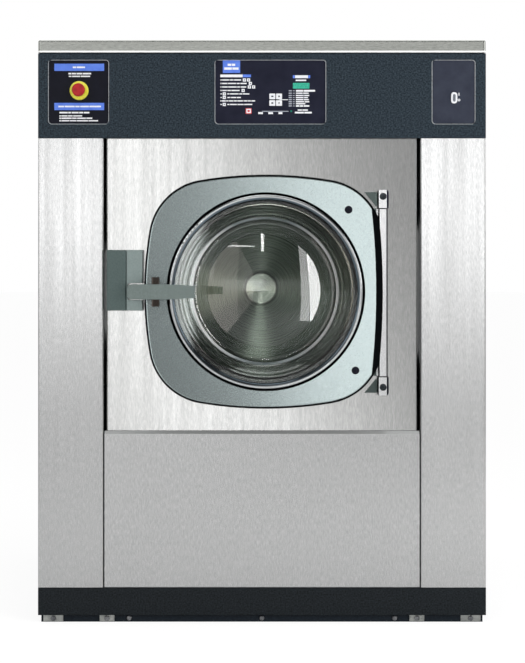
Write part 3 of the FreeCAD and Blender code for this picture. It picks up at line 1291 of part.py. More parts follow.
def latch_housing():
    case = rounded_front(block(LATCH_X[0], LATCH_X[1], LATCH_FRONT, SET_BACK, LATCH_Z[0], LATCH_Z[1]))
    fit = FREE_GAP
    slot = block(BOLT_X[0] - fit, LATCH_X[1], BOLT_ENDS[0] - fit, BOLT_ENDS[1] + fit,
                 DOOR_Z - BOLT_H / 2.0 - fit, DOOR_Z + BOLT_H / 2.0 + fit)
    return case.cut(slot)


def latch_keeper():
    case = rounded_front(block(KEEPER_X[0], KEEPER_X[1], LATCH_FRONT, SET_BACK, LATCH_Z[0], LATCH_Z[1]))
    corner = LEVER_T / 2.0
    wall = KEEPER_X[0] + KEEPER_WALL
    low, high = DOOR_Z - POCKET_H / 2.0, DOOR_Z + POCKET_H / 2.0
    open_side = KEEPER_X[1] + LEVER_T
    pocket = front_plate_of([(wall, low, corner), (open_side, low), (open_side, high), (wall, high, corner)],
                            LATCH_FRONT, SET_BACK)
    fit = FREE_GAP
    slot = block(KEEPER_X[0], wall, BOLT_ENDS[0] - fit, BOLT_ENDS[1] + fit,
                 DOOR_Z - BOLT_H / 2.0 - fit, DOOR_Z + BOLT_H / 2.0 + fit)
    return case.cut([pocket, slot])


def lock_bolt():
    half = BOLT_H / 2.0
    return block(BOLT_X[0], BOLT_X[1], BOLT_ENDS[0], BOLT_ENDS[1], DOOR_Z - half, DOOR_Z + half)


def door_handle():
    grip_front = -HANDLE_REACH
    grip_back = grip_front + LEVER_T
    mid_front = PIVOT_DEPTH - LEVER_BOSS_R - LEVER_SKIN
    mid_back = PIVOT_DEPTH + LEVER_T / 2.0
    foot_front = LEVER_FOOT_DEPTH
    foot_back = foot_front + LEVER_T
    x = PIVOT_X
    soft = LEVER_T - BEND
    nose = LEVER_T / 2.0 - BEND
    profile = [(x + LEVER_GRIP, grip_front, BEND), (x + LEVER_KINK[1], grip_front, soft),
               (x + LEVER_KINK[0], mid_front, soft), (x - LEVER_LIP, mid_front, BEND),
               (x - LEVER_LIP, mid_front + LEVER_T, BEND), (x - LEVER_LEG[1], mid_front + LEVER_T, BEND),
               (x - LEVER_LEG[1], foot_front, BEND), (x - LEVER_FOOT, foot_front, nose),
               (x - LEVER_FOOT, foot_back, nose), (x - LEVER_LEG[0], foot_back, BEND),
               (x - LEVER_LEG[0], mid_back, BEND), (x + LEVER_KINK[0] + BEND, mid_back, soft),
               (x + LEVER_KINK[1] + BEND, grip_back, soft), (x + LEVER_GRIP, grip_back, BEND)]
    low, high = DOOR_Z - LEVER_H / 2.0, DOOR_Z + LEVER_H / 2.0
    tip = LEVER_TIP_H / 2.0
    left, bend, right = x - LEVER_LIP, x + LEVER_KINK[1], x + LEVER_GRIP
    front = front_plate_of([(left, low, LEVER_CORNER), (bend, low), (right, DOOR_Z - tip, BEND),
                            (right, DOOR_Z + tip, BEND), (bend, high), (left, high, LEVER_CORNER)],
                           grip_front, foot_back)
    lever = plan_of(profile, low, high).common(front)
    boss = post(x, PIVOT_DEPTH, LEVER_BOSS_R, low, high)
    reach = EAR_GAP + EAR_H
    pin = post(x, PIVOT_DEPTH, LEVER_PIN_R, low - reach, high + reach)
    return joined(lever, [boss, pin])


# Water, drain and power connections

def drain_valve():
    x = DOOR_X
    body = block(x - VALVE_HALF_W, x + VALVE_HALF_W, VALVE_ENDS[0], VALVE_ENDS[1], VALVE_Z[0], VALVE_Z[1])
    spigot = post(x, DRAIN_DEPTH, DRAIN_R, VALVE_Z[1], VALVE_SPIGOT_Z)
    ways = [post(x, DRAIN_DEPTH, DRAIN_BORE_R, DRAIN_Z, VALVE_SPIGOT_Z),
            rod(x, DRAIN_Z, DRAIN_BORE_R, DRAIN_DEPTH, VALVE_ENDS[1])]
    return joined(body, [spigot]).cut(ways)


def drain_bellows():
    low, high = BELLOWS_Z
    tube = post(DOOR_X, DRAIN_DEPTH, BELLOWS_R, low, high)
    pitch = (high - low) / (BELLOWS_RIBS + 1)
    ribs = []
    for i in range(1, BELLOWS_RIBS + 1):
        z = low + i * pitch
        half = BELLOWS_RIB_T / 2.0
        ribs.append(post(DOOR_X, DRAIN_DEPTH, BELLOWS_RIB_R, z - half, z + half))
    return joined(tube, ribs).cut(post(DOOR_X, DRAIN_DEPTH, DRAIN_R + FREE_GAP, low, high))


def drain_outlet():
    start, end = VALVE_ENDS[1], CABINET_DEPTH + OUTLET_REACH
    pipe = rod(DOOR_X, DRAIN_Z, DRAIN_R, start, end)
    flange = rod(DOOR_X, DRAIN_Z, OUTLET_FLANGE_R, CABINET_DEPTH, CABINET_DEPTH + OUTLET_FLANGE_T)
    leg = post(DOOR_X, OUTLET_LEG_DEPTH, OUTLET_LEG_R, BASE_H, DRAIN_Z)
    return joined(pipe, [flange, leg]).cut(rod(DOOR_X, DRAIN_Z, DRAIN_BORE_R, start, end))


def inlet_valve(x, spout_x, turn):
    back = CABINET_DEPTH - SHEET
    end = CABINET_DEPTH + INLET_LEN
    half = INLET_BODY / 2.0
    z = INLET_Z
    body = block(x - half, x + half, INLET_BODY_FRONT, back, z - half, z + half)
    nipple = rod(x, z, INLET_R, back, end)
    coil = post(x, (INLET_BODY_FRONT + back) / 2.0, INLET_COLLAR_R, z + half, z + half + INLET_LEN)
    collar = rod(x, z, INLET_COLLAR_R, CABINET_DEPTH, CABINET_DEPTH + INLET_COLLAR_T)
    run = rod(x, z, SPOUT_R, turn - SPOUT_R, INLET_BODY_FRONT)
    over = cross_pin(x, spout_x, turn, z, SPOUT_R)
    along = rod(spout_x, z, SPOUT_R, FUNNEL_DEPTH, turn + SPOUT_R)
    down = post(spout_x, FUNNEL_DEPTH, SPOUT_R, SPOUT_Z, z)
    elbow = Part.makeSphere(SPOUT_R, V(spout_x, depth(FUNNEL_DEPTH), z))
    bore = rod(x, z, INLET_BORE_R, back, end)
    return joined(body, [nipple, coil, collar, run, over, along, down, elbow]).cut(bore)


def inlet_valves():
    return Part.makeCompound([inlet_valve(*place) for place in zip(INLET_X, SPOUT_END_X, SPOUT_ELBOWS)])


def cable_gland():
    back = CABINET_DEPTH
    start, end = GLAND_ENDS
    neck = rod(GLAND_X, GLAND_Z, GLAND_HOLE_R, start, end)
    nut = hexagon(GLAND_X, GLAND_Z, GLAND_R)
    outer = front_plate_of(nut, back, end - INLET_COLLAR_T)
    inner = front_plate_of(nut, start, back - SHEET)
    return joined(neck, [outer, inner]).cut(rod(GLAND_X, GLAND_Z, GLAND_BORE_R, start, end))


def drive_inverter():
    wall = -HALF_W + SHEET
    front = wall + INVERTER_T
    case = block(wall, front - INVERTER_FIN, INVERTER_D[0], INVERTER_D[1], INVERTER_Z[0], INVERTER_Z[1])
    pitch = (INVERTER_D[1] - INVERTER_D[0]) / INVERTER_FINS
    fins = []
    for i in range(INVERTER_FINS):
        start = INVERTER_D[0] + i * pitch
        fins.append(block(front - INVERTER_FIN, front, start, start + INVERTER_FIN_T,
                          INVERTER_Z[0], INVERTER_Z[1]))
    return joined(case, fins)


def build():
    """Every named piece of the machine."""
    pieces = {
        "base_frame": base_frame(),
        "plinth_panel": plinth_panel(),
        "foot_brackets": foot_brackets(),
        "foot_bolts": foot_bolts(),
        "left_side_panel": side_panel(-1),
        "right_side_panel": side_panel(1),
        "top_panel": top_panel(),
        "rear_panel": rear_panel(),
        "lower_front_panel": lower_front_panel(),
        "control_fascia": control_fascia(),
        "estop_plate": estop_plate(),
        "control_overlay": control_overlay(),
        "switch_plate": switch_plate(),
        "estop_base": estop_base(),
        "estop_stem": estop_stem(),
        "estop_head": estop_head(),
        "control_board": control_board(),
        "display_module": display_module(),
        "stop_key": key(STOP_KEY_X, STOP_KEY_Z),
        "main_switch": main_switch(),
        "drive_inverter": drive_inverter(),
        "front_plate": front_plate(),
        "outer_tub": outer_tub(),
        "tub_cradle": tub_cradle(),
        "bearing_housing": bearing_housing(),
        "shaft_bearings": shaft_bearings(),
        "shaft_seal": shaft_seal(),
        "drum_shell": drum_shell(),
        "drum_lifters": drum_lifters(),
        "drum_shaft": drum_shaft(),
        "hub_cap": hub_cap(),
        "drum_pulley": drum_pulley(),
        "drive_belt": drive_belt(),
        "motor_body": motor_body(),
        "motor_rotor": motor_rotor(),
        "motor_pulley": motor_pulley(),
        "suspension_springs": suspension_springs(),
        "damper_bodies": damper_bodies(),
        "damper_rods": damper_rods(),
        "door_frame": door_frame(),
        "glass_ring": glass_ring(),
        "door_glass": door_glass(),
        "door_gasket": door_gasket(),
        "door_bolts": door_bolts(),
        "hinge_bar": hinge_bar(),
        "hinge_blocks": hinge_blocks(),
        "hinge_bolts": hinge_bolts(),
        "latch_housing": latch_housing(),
        "latch_keeper": latch_keeper(),
        "lock_bolt": lock_bolt(),
        "door_handle": door_handle(),
        "drain_valve": drain_valve(),
        "drain_bellows": drain_bellows(),
        "drain_outlet": drain_outlet(),
        "inlet_valves": inlet_valves(),
        "cable_gland": cable_gland(),
    }
    for i, (x, z) in enumerate(key_places()):
        pieces["key_%d" % (i + 1)] = key(x, z)
    return pieces


os.makedirs("parts", exist_ok=True)
for name, shape in build().items():
    shape.exportStep("parts/" + name + ".step")
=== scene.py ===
import math

import bpy
import numpy as np
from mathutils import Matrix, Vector


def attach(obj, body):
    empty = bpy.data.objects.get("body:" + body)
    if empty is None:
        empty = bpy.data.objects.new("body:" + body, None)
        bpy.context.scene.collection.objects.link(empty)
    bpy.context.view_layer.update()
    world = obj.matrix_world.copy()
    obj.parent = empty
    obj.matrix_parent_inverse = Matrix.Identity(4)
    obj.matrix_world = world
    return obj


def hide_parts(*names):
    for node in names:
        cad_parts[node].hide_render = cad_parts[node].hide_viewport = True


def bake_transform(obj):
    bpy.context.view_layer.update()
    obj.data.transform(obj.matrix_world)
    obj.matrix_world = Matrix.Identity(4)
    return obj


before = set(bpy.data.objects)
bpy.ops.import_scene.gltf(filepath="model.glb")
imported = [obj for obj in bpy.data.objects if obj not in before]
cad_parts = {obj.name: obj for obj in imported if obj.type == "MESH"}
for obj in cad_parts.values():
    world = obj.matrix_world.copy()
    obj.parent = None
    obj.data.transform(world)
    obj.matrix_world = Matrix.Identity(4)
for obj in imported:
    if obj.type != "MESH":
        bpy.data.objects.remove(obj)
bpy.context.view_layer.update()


# Base frame, plinth and feet: folded steel channels under the cabinet, stoved dark blue-grey,
# with a folded plinth sheet in front. The foot brackets are zinc plated and held by dished bolts.

def tone(red, green, blue):
    """Shade read off a screen, 0 to 255, as a shader's linear values: a 255th of it to the power 2.2."""
    return tuple(float(v) for v in (np.array([red, green, blue]) / 255.0) ** 2.2) + (1.0,)


def skin(mat):
    """Sockets of the one shader that a finish is made with."""
    return mat.node_tree.nodes["Principled BSDF"].inputs


def step(mat, kind, feeds, values=(), out=0, **settings):
    """One step in the making of a finish: a shader node of a kind with its settings, the outputs that feed
    its sockets and the even values of others. Gives the output that the next step takes."""
    node = mat.node_tree.nodes.new(kind)
    for key, value in settings.items():
        setattr(node, key, value)
    for socket, value in dict(values).items():
        node.inputs[socket].default_value = value
    for socket, source in feeds.items():
        mat.node_tree.links.new(source, node.inputs[socket])
    return node.outputs[out]


def feed(mat, socket, output):
    """Leads an output into a socket of the finish's shader."""
    mat.node_tree.links.new(output, skin(mat)[socket])


def place(mat, kind="Object"):
    """Where a point of the piece is, or with Normal the way that its skin faces there."""
    return step(mat, "ShaderNodeTexCoord", {}, out=kind)


def ranged(mat, value, start, end, low=0.0, high=1.0, **settings):
    """Carries a value that runs from start to end over to low and high, and holds it there beyond."""
    limits = {"From Min": start, "From Max": end, "To Min": low, "To Max": high}
    return step(mat, "ShaderNodeMapRange", {"Value": value}, limits, **settings)


def finish(name, shade, metallic, rough, gloss=0.5):
    """New material with even values on the shader's own sockets. Gloss is the mirror share of its skin."""
    mat = bpy.data.materials.new(name)
    mat.use_nodes = True
    even = {"Base Color": shade, "Metallic": metallic, "Roughness": rough, "Specular IOR Level": gloss}
    for socket, value in even.items():
        skin(mat)[socket].default_value = value
    return mat


def grain(mat, per_metre, detail=2.0):
    """Noise over the piece's own coordinates, by the grains to a metre, one number or one for each axis."""
    scale = tuple(float(v) for v in np.broadcast_to(per_metre, 3))
    stretched = step(mat, "ShaderNodeMapping", {"Vector": place(mat)}, {"Scale": scale})
    return step(mat, "ShaderNodeTexNoise", {"Vector": stretched}, {"Scale": 1.0, "Detail": detail})


GRAIN_MIDDLE = (0.3, 0.7)


def spread(mat, factor, low, high, socket="Roughness"):
    """Carries the middle part of a grain to a low and a high value of one socket."""
    feed(mat, socket, ranged(mat, factor, *GRAIN_MIDDLE, low, high))


def mottle(mat, factor, dark, light):
    """Colour that runs from a dark to a light shade over the middle part of a grain."""
    shades = step(mat, "ShaderNodeValToRGB", {"Fac": factor})
    for stop, position, shade in zip(shades.node.color_ramp.elements, GRAIN_MIDDLE, (dark, light)):
        stop.position = position
        stop.color = shade
    feed(mat, "Base Color", shades)


def relief(mat, factor, height):
    """Bump of this height in metres between the low and the high places of a grain."""
    feed(mat, "Normal", step(mat, "ShaderNodeBump", {"Height": factor}, {"Strength": 1.0, "Distance": height}))


def dress(mat, *names):
    """Puts a material on whole CAD pieces."""
    for name in names:
        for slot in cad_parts[name].material_slots:
            slot.material = mat


def surfaced(name, dark, light, rough, metallic, cloud, wear, pores, gloss=0.5):
    """Finish in two close shades. Cloud, wear and pores start with the grains to a metre and the detail of
    its shade, its roughness and its relief. Wear goes on with how far the roughness falls and rises, and
    pores with their height in metres."""
    mat = finish(name, tone(*light), metallic, rough, gloss)
    mottle(mat, grain(mat, *cloud), tone(*dark), tone(*light))
    spread(mat, grain(mat, *wear[:2]), rough - wear[2], rough + wear[3])
    relief(mat, grain(mat, *pores[:2]), pores[2])
    return mat


def painted_steel(name, dark, light, rough):
    """Stoved texture paint: two close shades in a grain of a few millimetres over a fine orange-peel skin."""
    return surfaced(name, dark, light, rough, 0.0, cloud=(240.0, 6.0), wear=(70.0, 3.0, 0.06, 0.08),
                    pores=(850.0, 2.0, 0.00005), gloss=0.2)


def plated_steel(name, dark, light, rough):
    """Bare or plated metal with a cloudy shade and small scratches in its gloss."""
    return surfaced(name, dark, light, rough, 1.0, cloud=(45.0, 4.0), wear=(320.0, 3.0, 0.08, 0.1),
                    pores=(500.0, 2.0, 0.00002))


base_paint = painted_steel("base_paint", (20, 27, 34), (34, 41, 48), 0.5)
zinc = plated_steel("zinc_plate", (150, 154, 152), (196, 198, 194), 0.38)

dress(base_paint, "base_frame")
dress(painted_steel("plinth_paint", (4, 8, 12), (40, 46, 50), 0.45), "plinth_panel")
dress(zinc, "foot_brackets")
dress(plated_steel("dull_bolt_steel", (105, 107, 110), (165, 167, 169), 0.3), "foot_bolts")


# Suspension: four coil springs of black coated wire on the cross rails, with a friction damper
# beside each one. The damper rods are ground bright.

FRONT = -0.6375  # front plane of the cabinet, in metres along Y


def formed(name, points, faces, smooth=True):
    """Mesh object at the origin from an array of points in metres and an array or a list of faces."""
    mesh = bpy.data.meshes.new(name)
    mesh.from_pydata(points.reshape(-1, 3).tolist(), [], list(map(list, faces)))
    mesh.update()
    mesh.polygons.foreach_set("use_smooth", np.full(len(faces), smooth))
    piece = bpy.data.objects.new(name, mesh)
    bpy.context.scene.collection.objects.link(piece)
    return piece


def full_turn(steps):
    """Angles evenly round a circle, without the last, which is the first again."""
    return np.linspace(0.0, 2.0 * np.pi, steps, endpoint=False)


def grid(one, other):
    """Two runs of values over all their pairs, the first by rows and the second by columns."""
    return np.meshgrid(one, other, indexing="ij")


def woven(rows, columns, shut_rows=True, shut_columns=True, turned=False):
    """Four-sided faces over a grid of points, row by row. Each way runs round to its start or is left open,
    and turned faces look the other way."""
    i, j = grid(np.arange(rows if shut_rows else rows - 1), np.arange(columns if shut_columns else columns - 1))
    near, after, beside = i * columns, (i + 1) % rows * columns, (j + 1) % columns
    faces = np.stack([near + j, after + j, after + beside, near + beside], -1).reshape(-1, 4)
    return faces[:, [0, 3, 2, 1]] if turned else faces


def repeated(faces, copies, points):
    """Faces of one piece again for each of its copies, which have so many points each."""
    return (faces[None] + (np.arange(copies) * points)[:, None, None]).reshape(-1, faces.shape[1])


def coil_springs(name, centres, radius, wire, low, high, turns, steps=36, around=12):
    """Wire wound about upright axes: height grows evenly with the angle, and a circle square to the wire is
    its section. Both ends are cut flat."""
    angle = np.linspace(0.0, 2.0 * np.pi * turns, int(turns * steps) + 1)
    a, p = grid(angle, full_turn(around))
    lead = (high - low) / (2.0 * np.pi * turns)
    slope = math.hypot(radius, lead)
    out, tilt = radius + wire * np.cos(p), wire * np.sin(p) * lead / slope
    coil = np.stack([out * np.cos(a) + tilt * np.sin(a), out * np.sin(a) - tilt * np.cos(a),
                     low + lead * a + wire * np.sin(p) * radius / slope], -1).reshape(-1, 3)
    quads = woven(len(angle), around, shut_rows=False)
    first = np.arange(around)
    last = (first + (len(angle) - 1) * around)[::-1]
    faces = []
    for lift in np.arange(len(centres)) * len(coil):
        faces += (quads + lift).tolist() + [(first + lift).tolist(), (last + lift).tolist()]
    return formed(name, np.asarray(centres)[:, None, :] + coil[None], faces)


coated_wire = painted_steel("coated_spring_wire", (30, 31, 33), (44, 45, 48), 0.38)
ground_rod = plated_steel("ground_rod_steel", (190, 192, 194), (226, 228, 230), 0.16)

SPRING_LOW, SPRING_HIGH = 0.105, 0.3217
spring_places = [(x, FRONT + d, 0.0) for x in (-0.452, 0.452) for d in (0.300, 0.880)]
springs = coil_springs("tub_springs", spring_places, radius=0.046, wire=0.008, low=SPRING_LOW,
                       high=SPRING_HIGH, turns=5.5)
springs.data.materials.append(coated_wire)
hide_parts("suspension_springs")
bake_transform(springs)
dress(base_paint, "damper_bodies", "tub_cradle")
dress(ground_rod, "damper_rods")


# Outer tub: rolled and welded stainless sheet with the front plate's neck, the fill funnel on top
# and the drain neck below. The neck carries the moulded rubber door gasket.

def brushed_steel(name, dark, light, rough, along):
    """Sheet ground with a belt: noise drawn out along one axis (0 X, 1 Y, 2 Z), fine for the scratches
    and broad for the bands that the belt leaves."""
    fine, broad = [430.0] * 3, [60.0] * 3
    fine[along], broad[along] = 70.0, 1.6
    return surfaced(name, dark, light, rough, 1.0, cloud=(fine, 3.0), wear=(broad, 4.0, 0.02, 0.03),
                    pores=(fine, 2.0, 0.000012))


def soft_rubber(name, dark, light, rough):
    """Moulded rubber: nearly black, matt, with a fine bloom and mould grain."""
    return surfaced(name, dark, light, rough, 0.0, cloud=(60.0, 4.0), wear=(240.0, 2.0, 0.08, 0.1),
                    pores=(900.0, 2.0, 0.00004))


door_rubber = soft_rubber("door_rubber", (24, 25, 26), (38, 39, 40), 0.6)
cast_iron = painted_steel("painted_cast_iron", (50, 60, 66), (66, 76, 82), 0.55)

dress(brushed_steel("tub_sheet", (168, 170, 170), (196, 198, 198), 0.36, 1), "outer_tub")
dress(door_rubber, "door_gasket", "shaft_seal")
dress(cast_iron, "bearing_housing")
dress(ground_rod, "shaft_bearings")


# Drum: a stainless shell on a machined shaft, its back sheet and hub cap finished on the lathe.
# The wall is lined with perforated sheet, and three hollow lifters are folded and spot welded to it.

DRUM_AXIS = (0.010, 0.916)
DRUM_CENTRE = (DRUM_AXIS[0], 0.0, DRUM_AXIS[1])
ACROSS, UPRIGHT, ROUND = (1.0, 0.0, 0.0), (0.0, 0.0, 1.0), (1.0, 0.0, 1.0)


def from_centre(mat, centre):
    """Where a point of the piece is, counted from a centre."""
    return step(mat, "ShaderNodeMapping", {"Vector": place(mat)}, {"Location": tuple(-v for v in centre)})


def off_axis(mat, centre, across):
    """Distance of a point from a centre, counted only along the axes whose share in across is 1."""
    flat = step(mat, "ShaderNodeVectorMath", {0: from_centre(mat, centre)}, {1: across}, operation="MULTIPLY")
    return step(mat, "ShaderNodeVectorMath", {0: flat}, out="Value", operation="LENGTH")


def ring_marks(mat, rings, detail=3.0):
    """One-way noise over the distance from the drum's axis: rings, so many to a metre."""
    return step(mat, "ShaderNodeTexNoise", {"W": off_axis(mat, DRUM_CENTRE, ROUND)},
                {"Scale": rings, "Detail": detail}, noise_dimensions="1D")


QUARTER_TURN = 0.25


def lathe_turned(name, dark, light, rough, rings, height, stretch=0.0):
    """Metal faced on a lathe: tool marks in rings about the drum's axis, and a highlight drawn out along
    the radius, as ring scratches give."""
    mat = finish(name, tone(*light), 1.0, rough)
    marks = ring_marks(mat, rings)
    mottle(mat, marks, tone(*dark), tone(*light))
    relief(mat, marks, height)
    spread(mat, marks, rough - 0.03, rough + 0.04)
    feed(mat, "Tangent", step(mat, "ShaderNodeTangent", {}, direction_type="RADIAL", axis="Y"))
    skin(mat)["Anisotropic"].default_value = stretch
    skin(mat)["Anisotropic Rotation"].default_value = QUARTER_TURN
    return mat


def fit(piece, mat, body):
    """Gives a new piece its material and the body that carries it."""
    piece.data.materials.append(mat)
    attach(piece, body)


def lining(name, radius, start, end, turns, rows):
    """Cylinder about the drum's axis, seen from inside: angle runs one way and depth the other.
    The UV map holds the arc length and the depth in metres, so a pattern keeps its size."""
    a, d = grid(full_turn(turns), np.linspace(start, end, rows))
    points = np.stack([DRUM_AXIS[0] + radius * np.cos(a), FRONT + d, DRUM_AXIS[1] + radius * np.sin(a)], -1)
    piece = formed(name, points, woven(turns, rows, shut_columns=False, turned=True))
    i, j = grid(np.arange(turns), np.arange(rows - 1))
    u = np.stack([i, i, i + 1, i + 1], -1) * 2.0 * np.pi * radius / turns
    v = np.stack([j, j + 1, j + 1, j], -1) * (end - start) / (rows - 1)
    layer = piece.data.uv_layers.new(name="unrolled")
    layer.data.foreach_set("uv", np.stack([u, v], -1).astype(np.float32).ravel())
    return piece


def perforated_sheet(name, dark, light, rough, pitch, hole):
    """Stainless sheet with a staggered row of round holes: the distance to a square lattice turned by
    45 degrees is dark inside the hole's share of the pitch, and the rim dips into it."""
    mat = finish(name, tone(*light), 1.0, rough)
    lattice = step(mat, "ShaderNodeMapping", {"Vector": step(mat, "ShaderNodeUVMap", {}, uv_map="unrolled")},
                   {"Rotation": (0.0, 0.0, math.radians(45.0)), "Scale": (1.0 / pitch, 1.0 / pitch, 1.0)})
    cell = step(mat, "ShaderNodeTexVoronoi", {"Vector": lattice}, {"Scale": 1.0, "Randomness": 0.0},
                voronoi_dimensions="2D")
    edge = ranged(mat, cell, hole * 0.46, hole * 0.56, interpolation_type="SMOOTHSTEP")
    mottle(mat, edge, tone(*dark), tone(*light))
    relief(mat, edge, 0.0012)
    spread(mat, grain(mat, 40.0, 3.0), rough - 0.05, rough + 0.07)
    return mat


wall_sheet = perforated_sheet("perforated_wall", (12, 12, 13), (178, 180, 180), 0.32, pitch=0.021,
                              hole=0.42)

# Painted shade: the back sheet is much darker than the drum's other steel, for the dim inside of the drum.
dress(lathe_turned("drum_back_sheet", (76, 81, 74), (108, 114, 105), 0.27, rings=420.0, height=0.00003,
                   stretch=1.0), "drum_shell")
dress(lathe_turned("turned_hub", (150, 152, 143), (186, 188, 176), 0.24, rings=900.0, height=0.00003,
                   stretch=0.9), "hub_cap")
dress(brushed_steel("lifter_sheet", (170, 172, 172), (200, 202, 202), 0.3, 1), "drum_lifters")
dress(ground_rod, "drum_shaft")

drum_wall = lining("drum_wall_lining", radius=0.4536, start=0.122, end=0.694, turns=240, rows=30)
fit(drum_wall, wall_sheet, "drum")


# Drive: a large pulley on the shaft, a ribbed rubber belt and a finned motor hung under the cradle.
# The pulleys are turned from aluminium and the motor is painted iron.


dress(plated_steel("turned_alloy", (158, 160, 162), (190, 192, 194), 0.35), "drum_pulley", "motor_pulley")
dress(soft_rubber("belt_rubber", (20, 20, 21), (32, 32, 33), 0.7), "drive_belt")
dress(cast_iron, "motor_body")
dress(ground_rod, "motor_rotor")


# Cabinet sheets: stainless steel folded at the corners and ground with an upright grain. The lid is
# ground from side to side, and the rear sheet is held by a row of screws round its edge.

def capped(rings, turns):
    """Faces of a dome or disc: a fan of three-sided ones about the first point, then four-sided rings."""
    k = np.arange(turns)
    return np.stack([0 * k, 1 + k, 1 + (k + 1) % turns], -1), 1 + woven(rings, turns, shut_rows=False)


def domed_heads(name, centres, axis_sign, radius, height, turns=20, rings=6):
    """Round screw heads on an upright sheet: a quarter ellipse turned about the front-to-back axis,
    height times the cosine and radius times the sine of one angle, closed at the pole."""
    swing = np.linspace(0.0, np.pi / 2.0, rings + 1)[1:]
    s, t = grid(swing, full_turn(turns))
    ring = np.stack([radius * np.sin(s) * np.cos(t), axis_sign * height * np.cos(s),
                     radius * np.sin(s) * np.sin(t)], -1)
    head = np.concatenate([[[0.0, axis_sign * height, 0.0]], ring.reshape(-1, 3)])
    cap, sides = capped(rings, turns)
    if axis_sign > 0:
        cap, sides = cap[:, ::-1], sides[:, ::-1]
    points = np.asarray(centres)[:, None, :] + head[None]
    faces = [repeated(part, len(centres), len(head)).tolist() for part in (cap, sides)]
    return formed(name, points, faces[0] + faces[1])


def louvre_hoods(name, centres, length, width, rise, across=14, along=25):
    """Pressed hoods over the rear slots: along the slot the rise fades to nothing at both ends with the
    fourth power of the distance, and across it follows a half sine, leaning to the upper edge."""
    u, v = grid(np.linspace(-1.0, 1.0, along), np.linspace(0.0, 1.0, across))
    swell = np.sin(np.pi * np.minimum(v * 1.25, 1.0) / 2.0) * np.minimum((1.0 - v) * 5.0, 1.0)
    hood = np.stack([u * length / 2.0, rise * (1.0 - u ** 4) * swell, (0.5 - v) * width], -1)
    quads = woven(along, across, shut_rows=False, shut_columns=False)[:, [1, 2, 3, 0]]
    points = np.asarray(centres)[:, None, :] + hood.reshape(1, -1, 3)
    return formed(name, points, repeated(quads, len(centres), along * across))


def under_skin(mat, bend):
    """Leads the bend of a sheet in under any relief that its skin has."""
    sockets = skin(mat)
    while sockets["Normal"].links:
        sockets = sockets["Normal"].links[0].from_node.inputs
    mat.node_tree.links.new(bend, sockets["Normal"])


def bowed(mat, centre, across, radius):
    """Gives a sheet or casting the slight bow it has in life: its skin falls with half the squared distance
    from a centre over the bow's radius, and a negative radius hollows it."""
    square = step(mat, "ShaderNodeMath", {0: off_axis(mat, centre, across)}, {1: 2.0}, operation="POWER")
    fall = step(mat, "ShaderNodeMath", {0: square}, {1: -0.5 / radius}, operation="MULTIPLY")
    under_skin(mat, step(mat, "ShaderNodeBump", {"Height": fall}, {"Strength": 1.0, "Distance": 1.0}))


def facing_aside(mat, low, high):
    """One where the skin turns away from the front or the back, and nothing where it faces them: the share of
    the normal along Y, without its sign, falling from high to low."""
    ahead = step(mat, "ShaderNodeSeparateXYZ", {"Vector": place(mat, "Normal")}, out="Y")
    return ranged(mat, step(mat, "ShaderNodeMath", {0: ahead}, operation="ABSOLUTE"), high, low)


def past(mat, axis, start, end):
    """Nothing before start and one after end along one axis of the piece."""
    return ranged(mat, step(mat, "ShaderNodeSeparateXYZ", {"Vector": place(mat)}, out=axis), start, end)


def overlaid(mat, share, shade):
    """Lays a second shade over a material's own colour by a share from 0 to 1."""
    own = skin(mat)["Base Color"].links[0].from_socket
    feed(mat, "Base Color", step(mat, "ShaderNodeMix", {0: share, 6: own}, {7: shade}, out=2, data_type="RGBA"))


def matted(mat, share, metallic):
    """Takes the bare metal of a material down to a lower share of metal where the given share is one."""
    feed(mat, "Metallic", ranged(mat, share, 0.0, 1.0, skin(mat)["Metallic"].default_value, metallic))


column_steel = brushed_steel("column_steel", (194, 195, 195), (217, 217, 217), 0.22, 2)
lower_steel = brushed_steel("lower_panel_steel", (192, 193, 193), (219, 219, 219), 0.24, 2)
lid_steel = brushed_steel("lid_steel", (154, 156, 151), (174, 176, 171), 0.24, 0)
rear_steel = brushed_steel("rear_sheet_steel", (176, 178, 178), (204, 205, 205), 0.38, 2)

SHEET_MIDDLE = (-0.2, 0.0, 0.9)
bowed(column_steel, SHEET_MIDDLE, ACROSS, radius=-9.8)
bowed(lid_steel, SHEET_MIDDLE, ACROSS, radius=-12.0)
# Painted highlight: a narrow band along the lid's lower edge, below about 1.583 m, is painted near white and
# made less metallic.
LID_FOLD = (1.5832, 1.5824)
painted_lid_highlight = past(lid_steel, "Z", *LID_FOLD)
overlaid(lid_steel, painted_lid_highlight, tone(252, 252, 250))
matted(lid_steel, painted_lid_highlight, 0.2)
# Painted shade: where the lower panel's skin turns away from the front, on its folds and edges, it is painted
# mid grey and made less metallic.
painted_fold_shade = facing_aside(lower_steel, 0.7, 0.9)
overlaid(lower_steel, painted_fold_shade, tone(150, 152, 151))
matted(lower_steel, painted_fold_shade, 0.25)
dress(column_steel, "left_side_panel", "right_side_panel")
dress(lower_steel, "lower_front_panel")
dress(lid_steel, "top_panel")
dress(rear_steel, "rear_panel")

REAR = FRONT + 1.290
rear_screws = ([(x, REAR, z) for z in (0.117, 1.558) for x in np.linspace(-0.600, 0.600, 7)]
               + [(x, REAR, z) for x in (-0.604, 0.604) for z in np.linspace(0.200, 1.560, 6)])
screw_heads = domed_heads("rear_screws", rear_screws, 1.0, radius=0.0055, height=0.0026)
fit(screw_heads, zinc, "cabinet")

hood_places = [(x, REAR, 1.1335 + 0.026 * row) for x in (-0.330, 0.330) for row in range(7)]
hoods = louvre_hoods("louvre_hoods", hood_places, length=0.196, width=0.017, rise=0.008)
fit(hoods, rear_steel, "cabinet")


# Front plate: the stainless plate on the sprung tub, folded back at both sides, with the round mouth
# that the door closes. It is ground with an upright grain like the cabinet.

def combined(mat, operation, first, second):
    """One value made of two by a sum, a product or the like."""
    return step(mat, "ShaderNodeMath", {0: first, 1: second}, operation=operation)


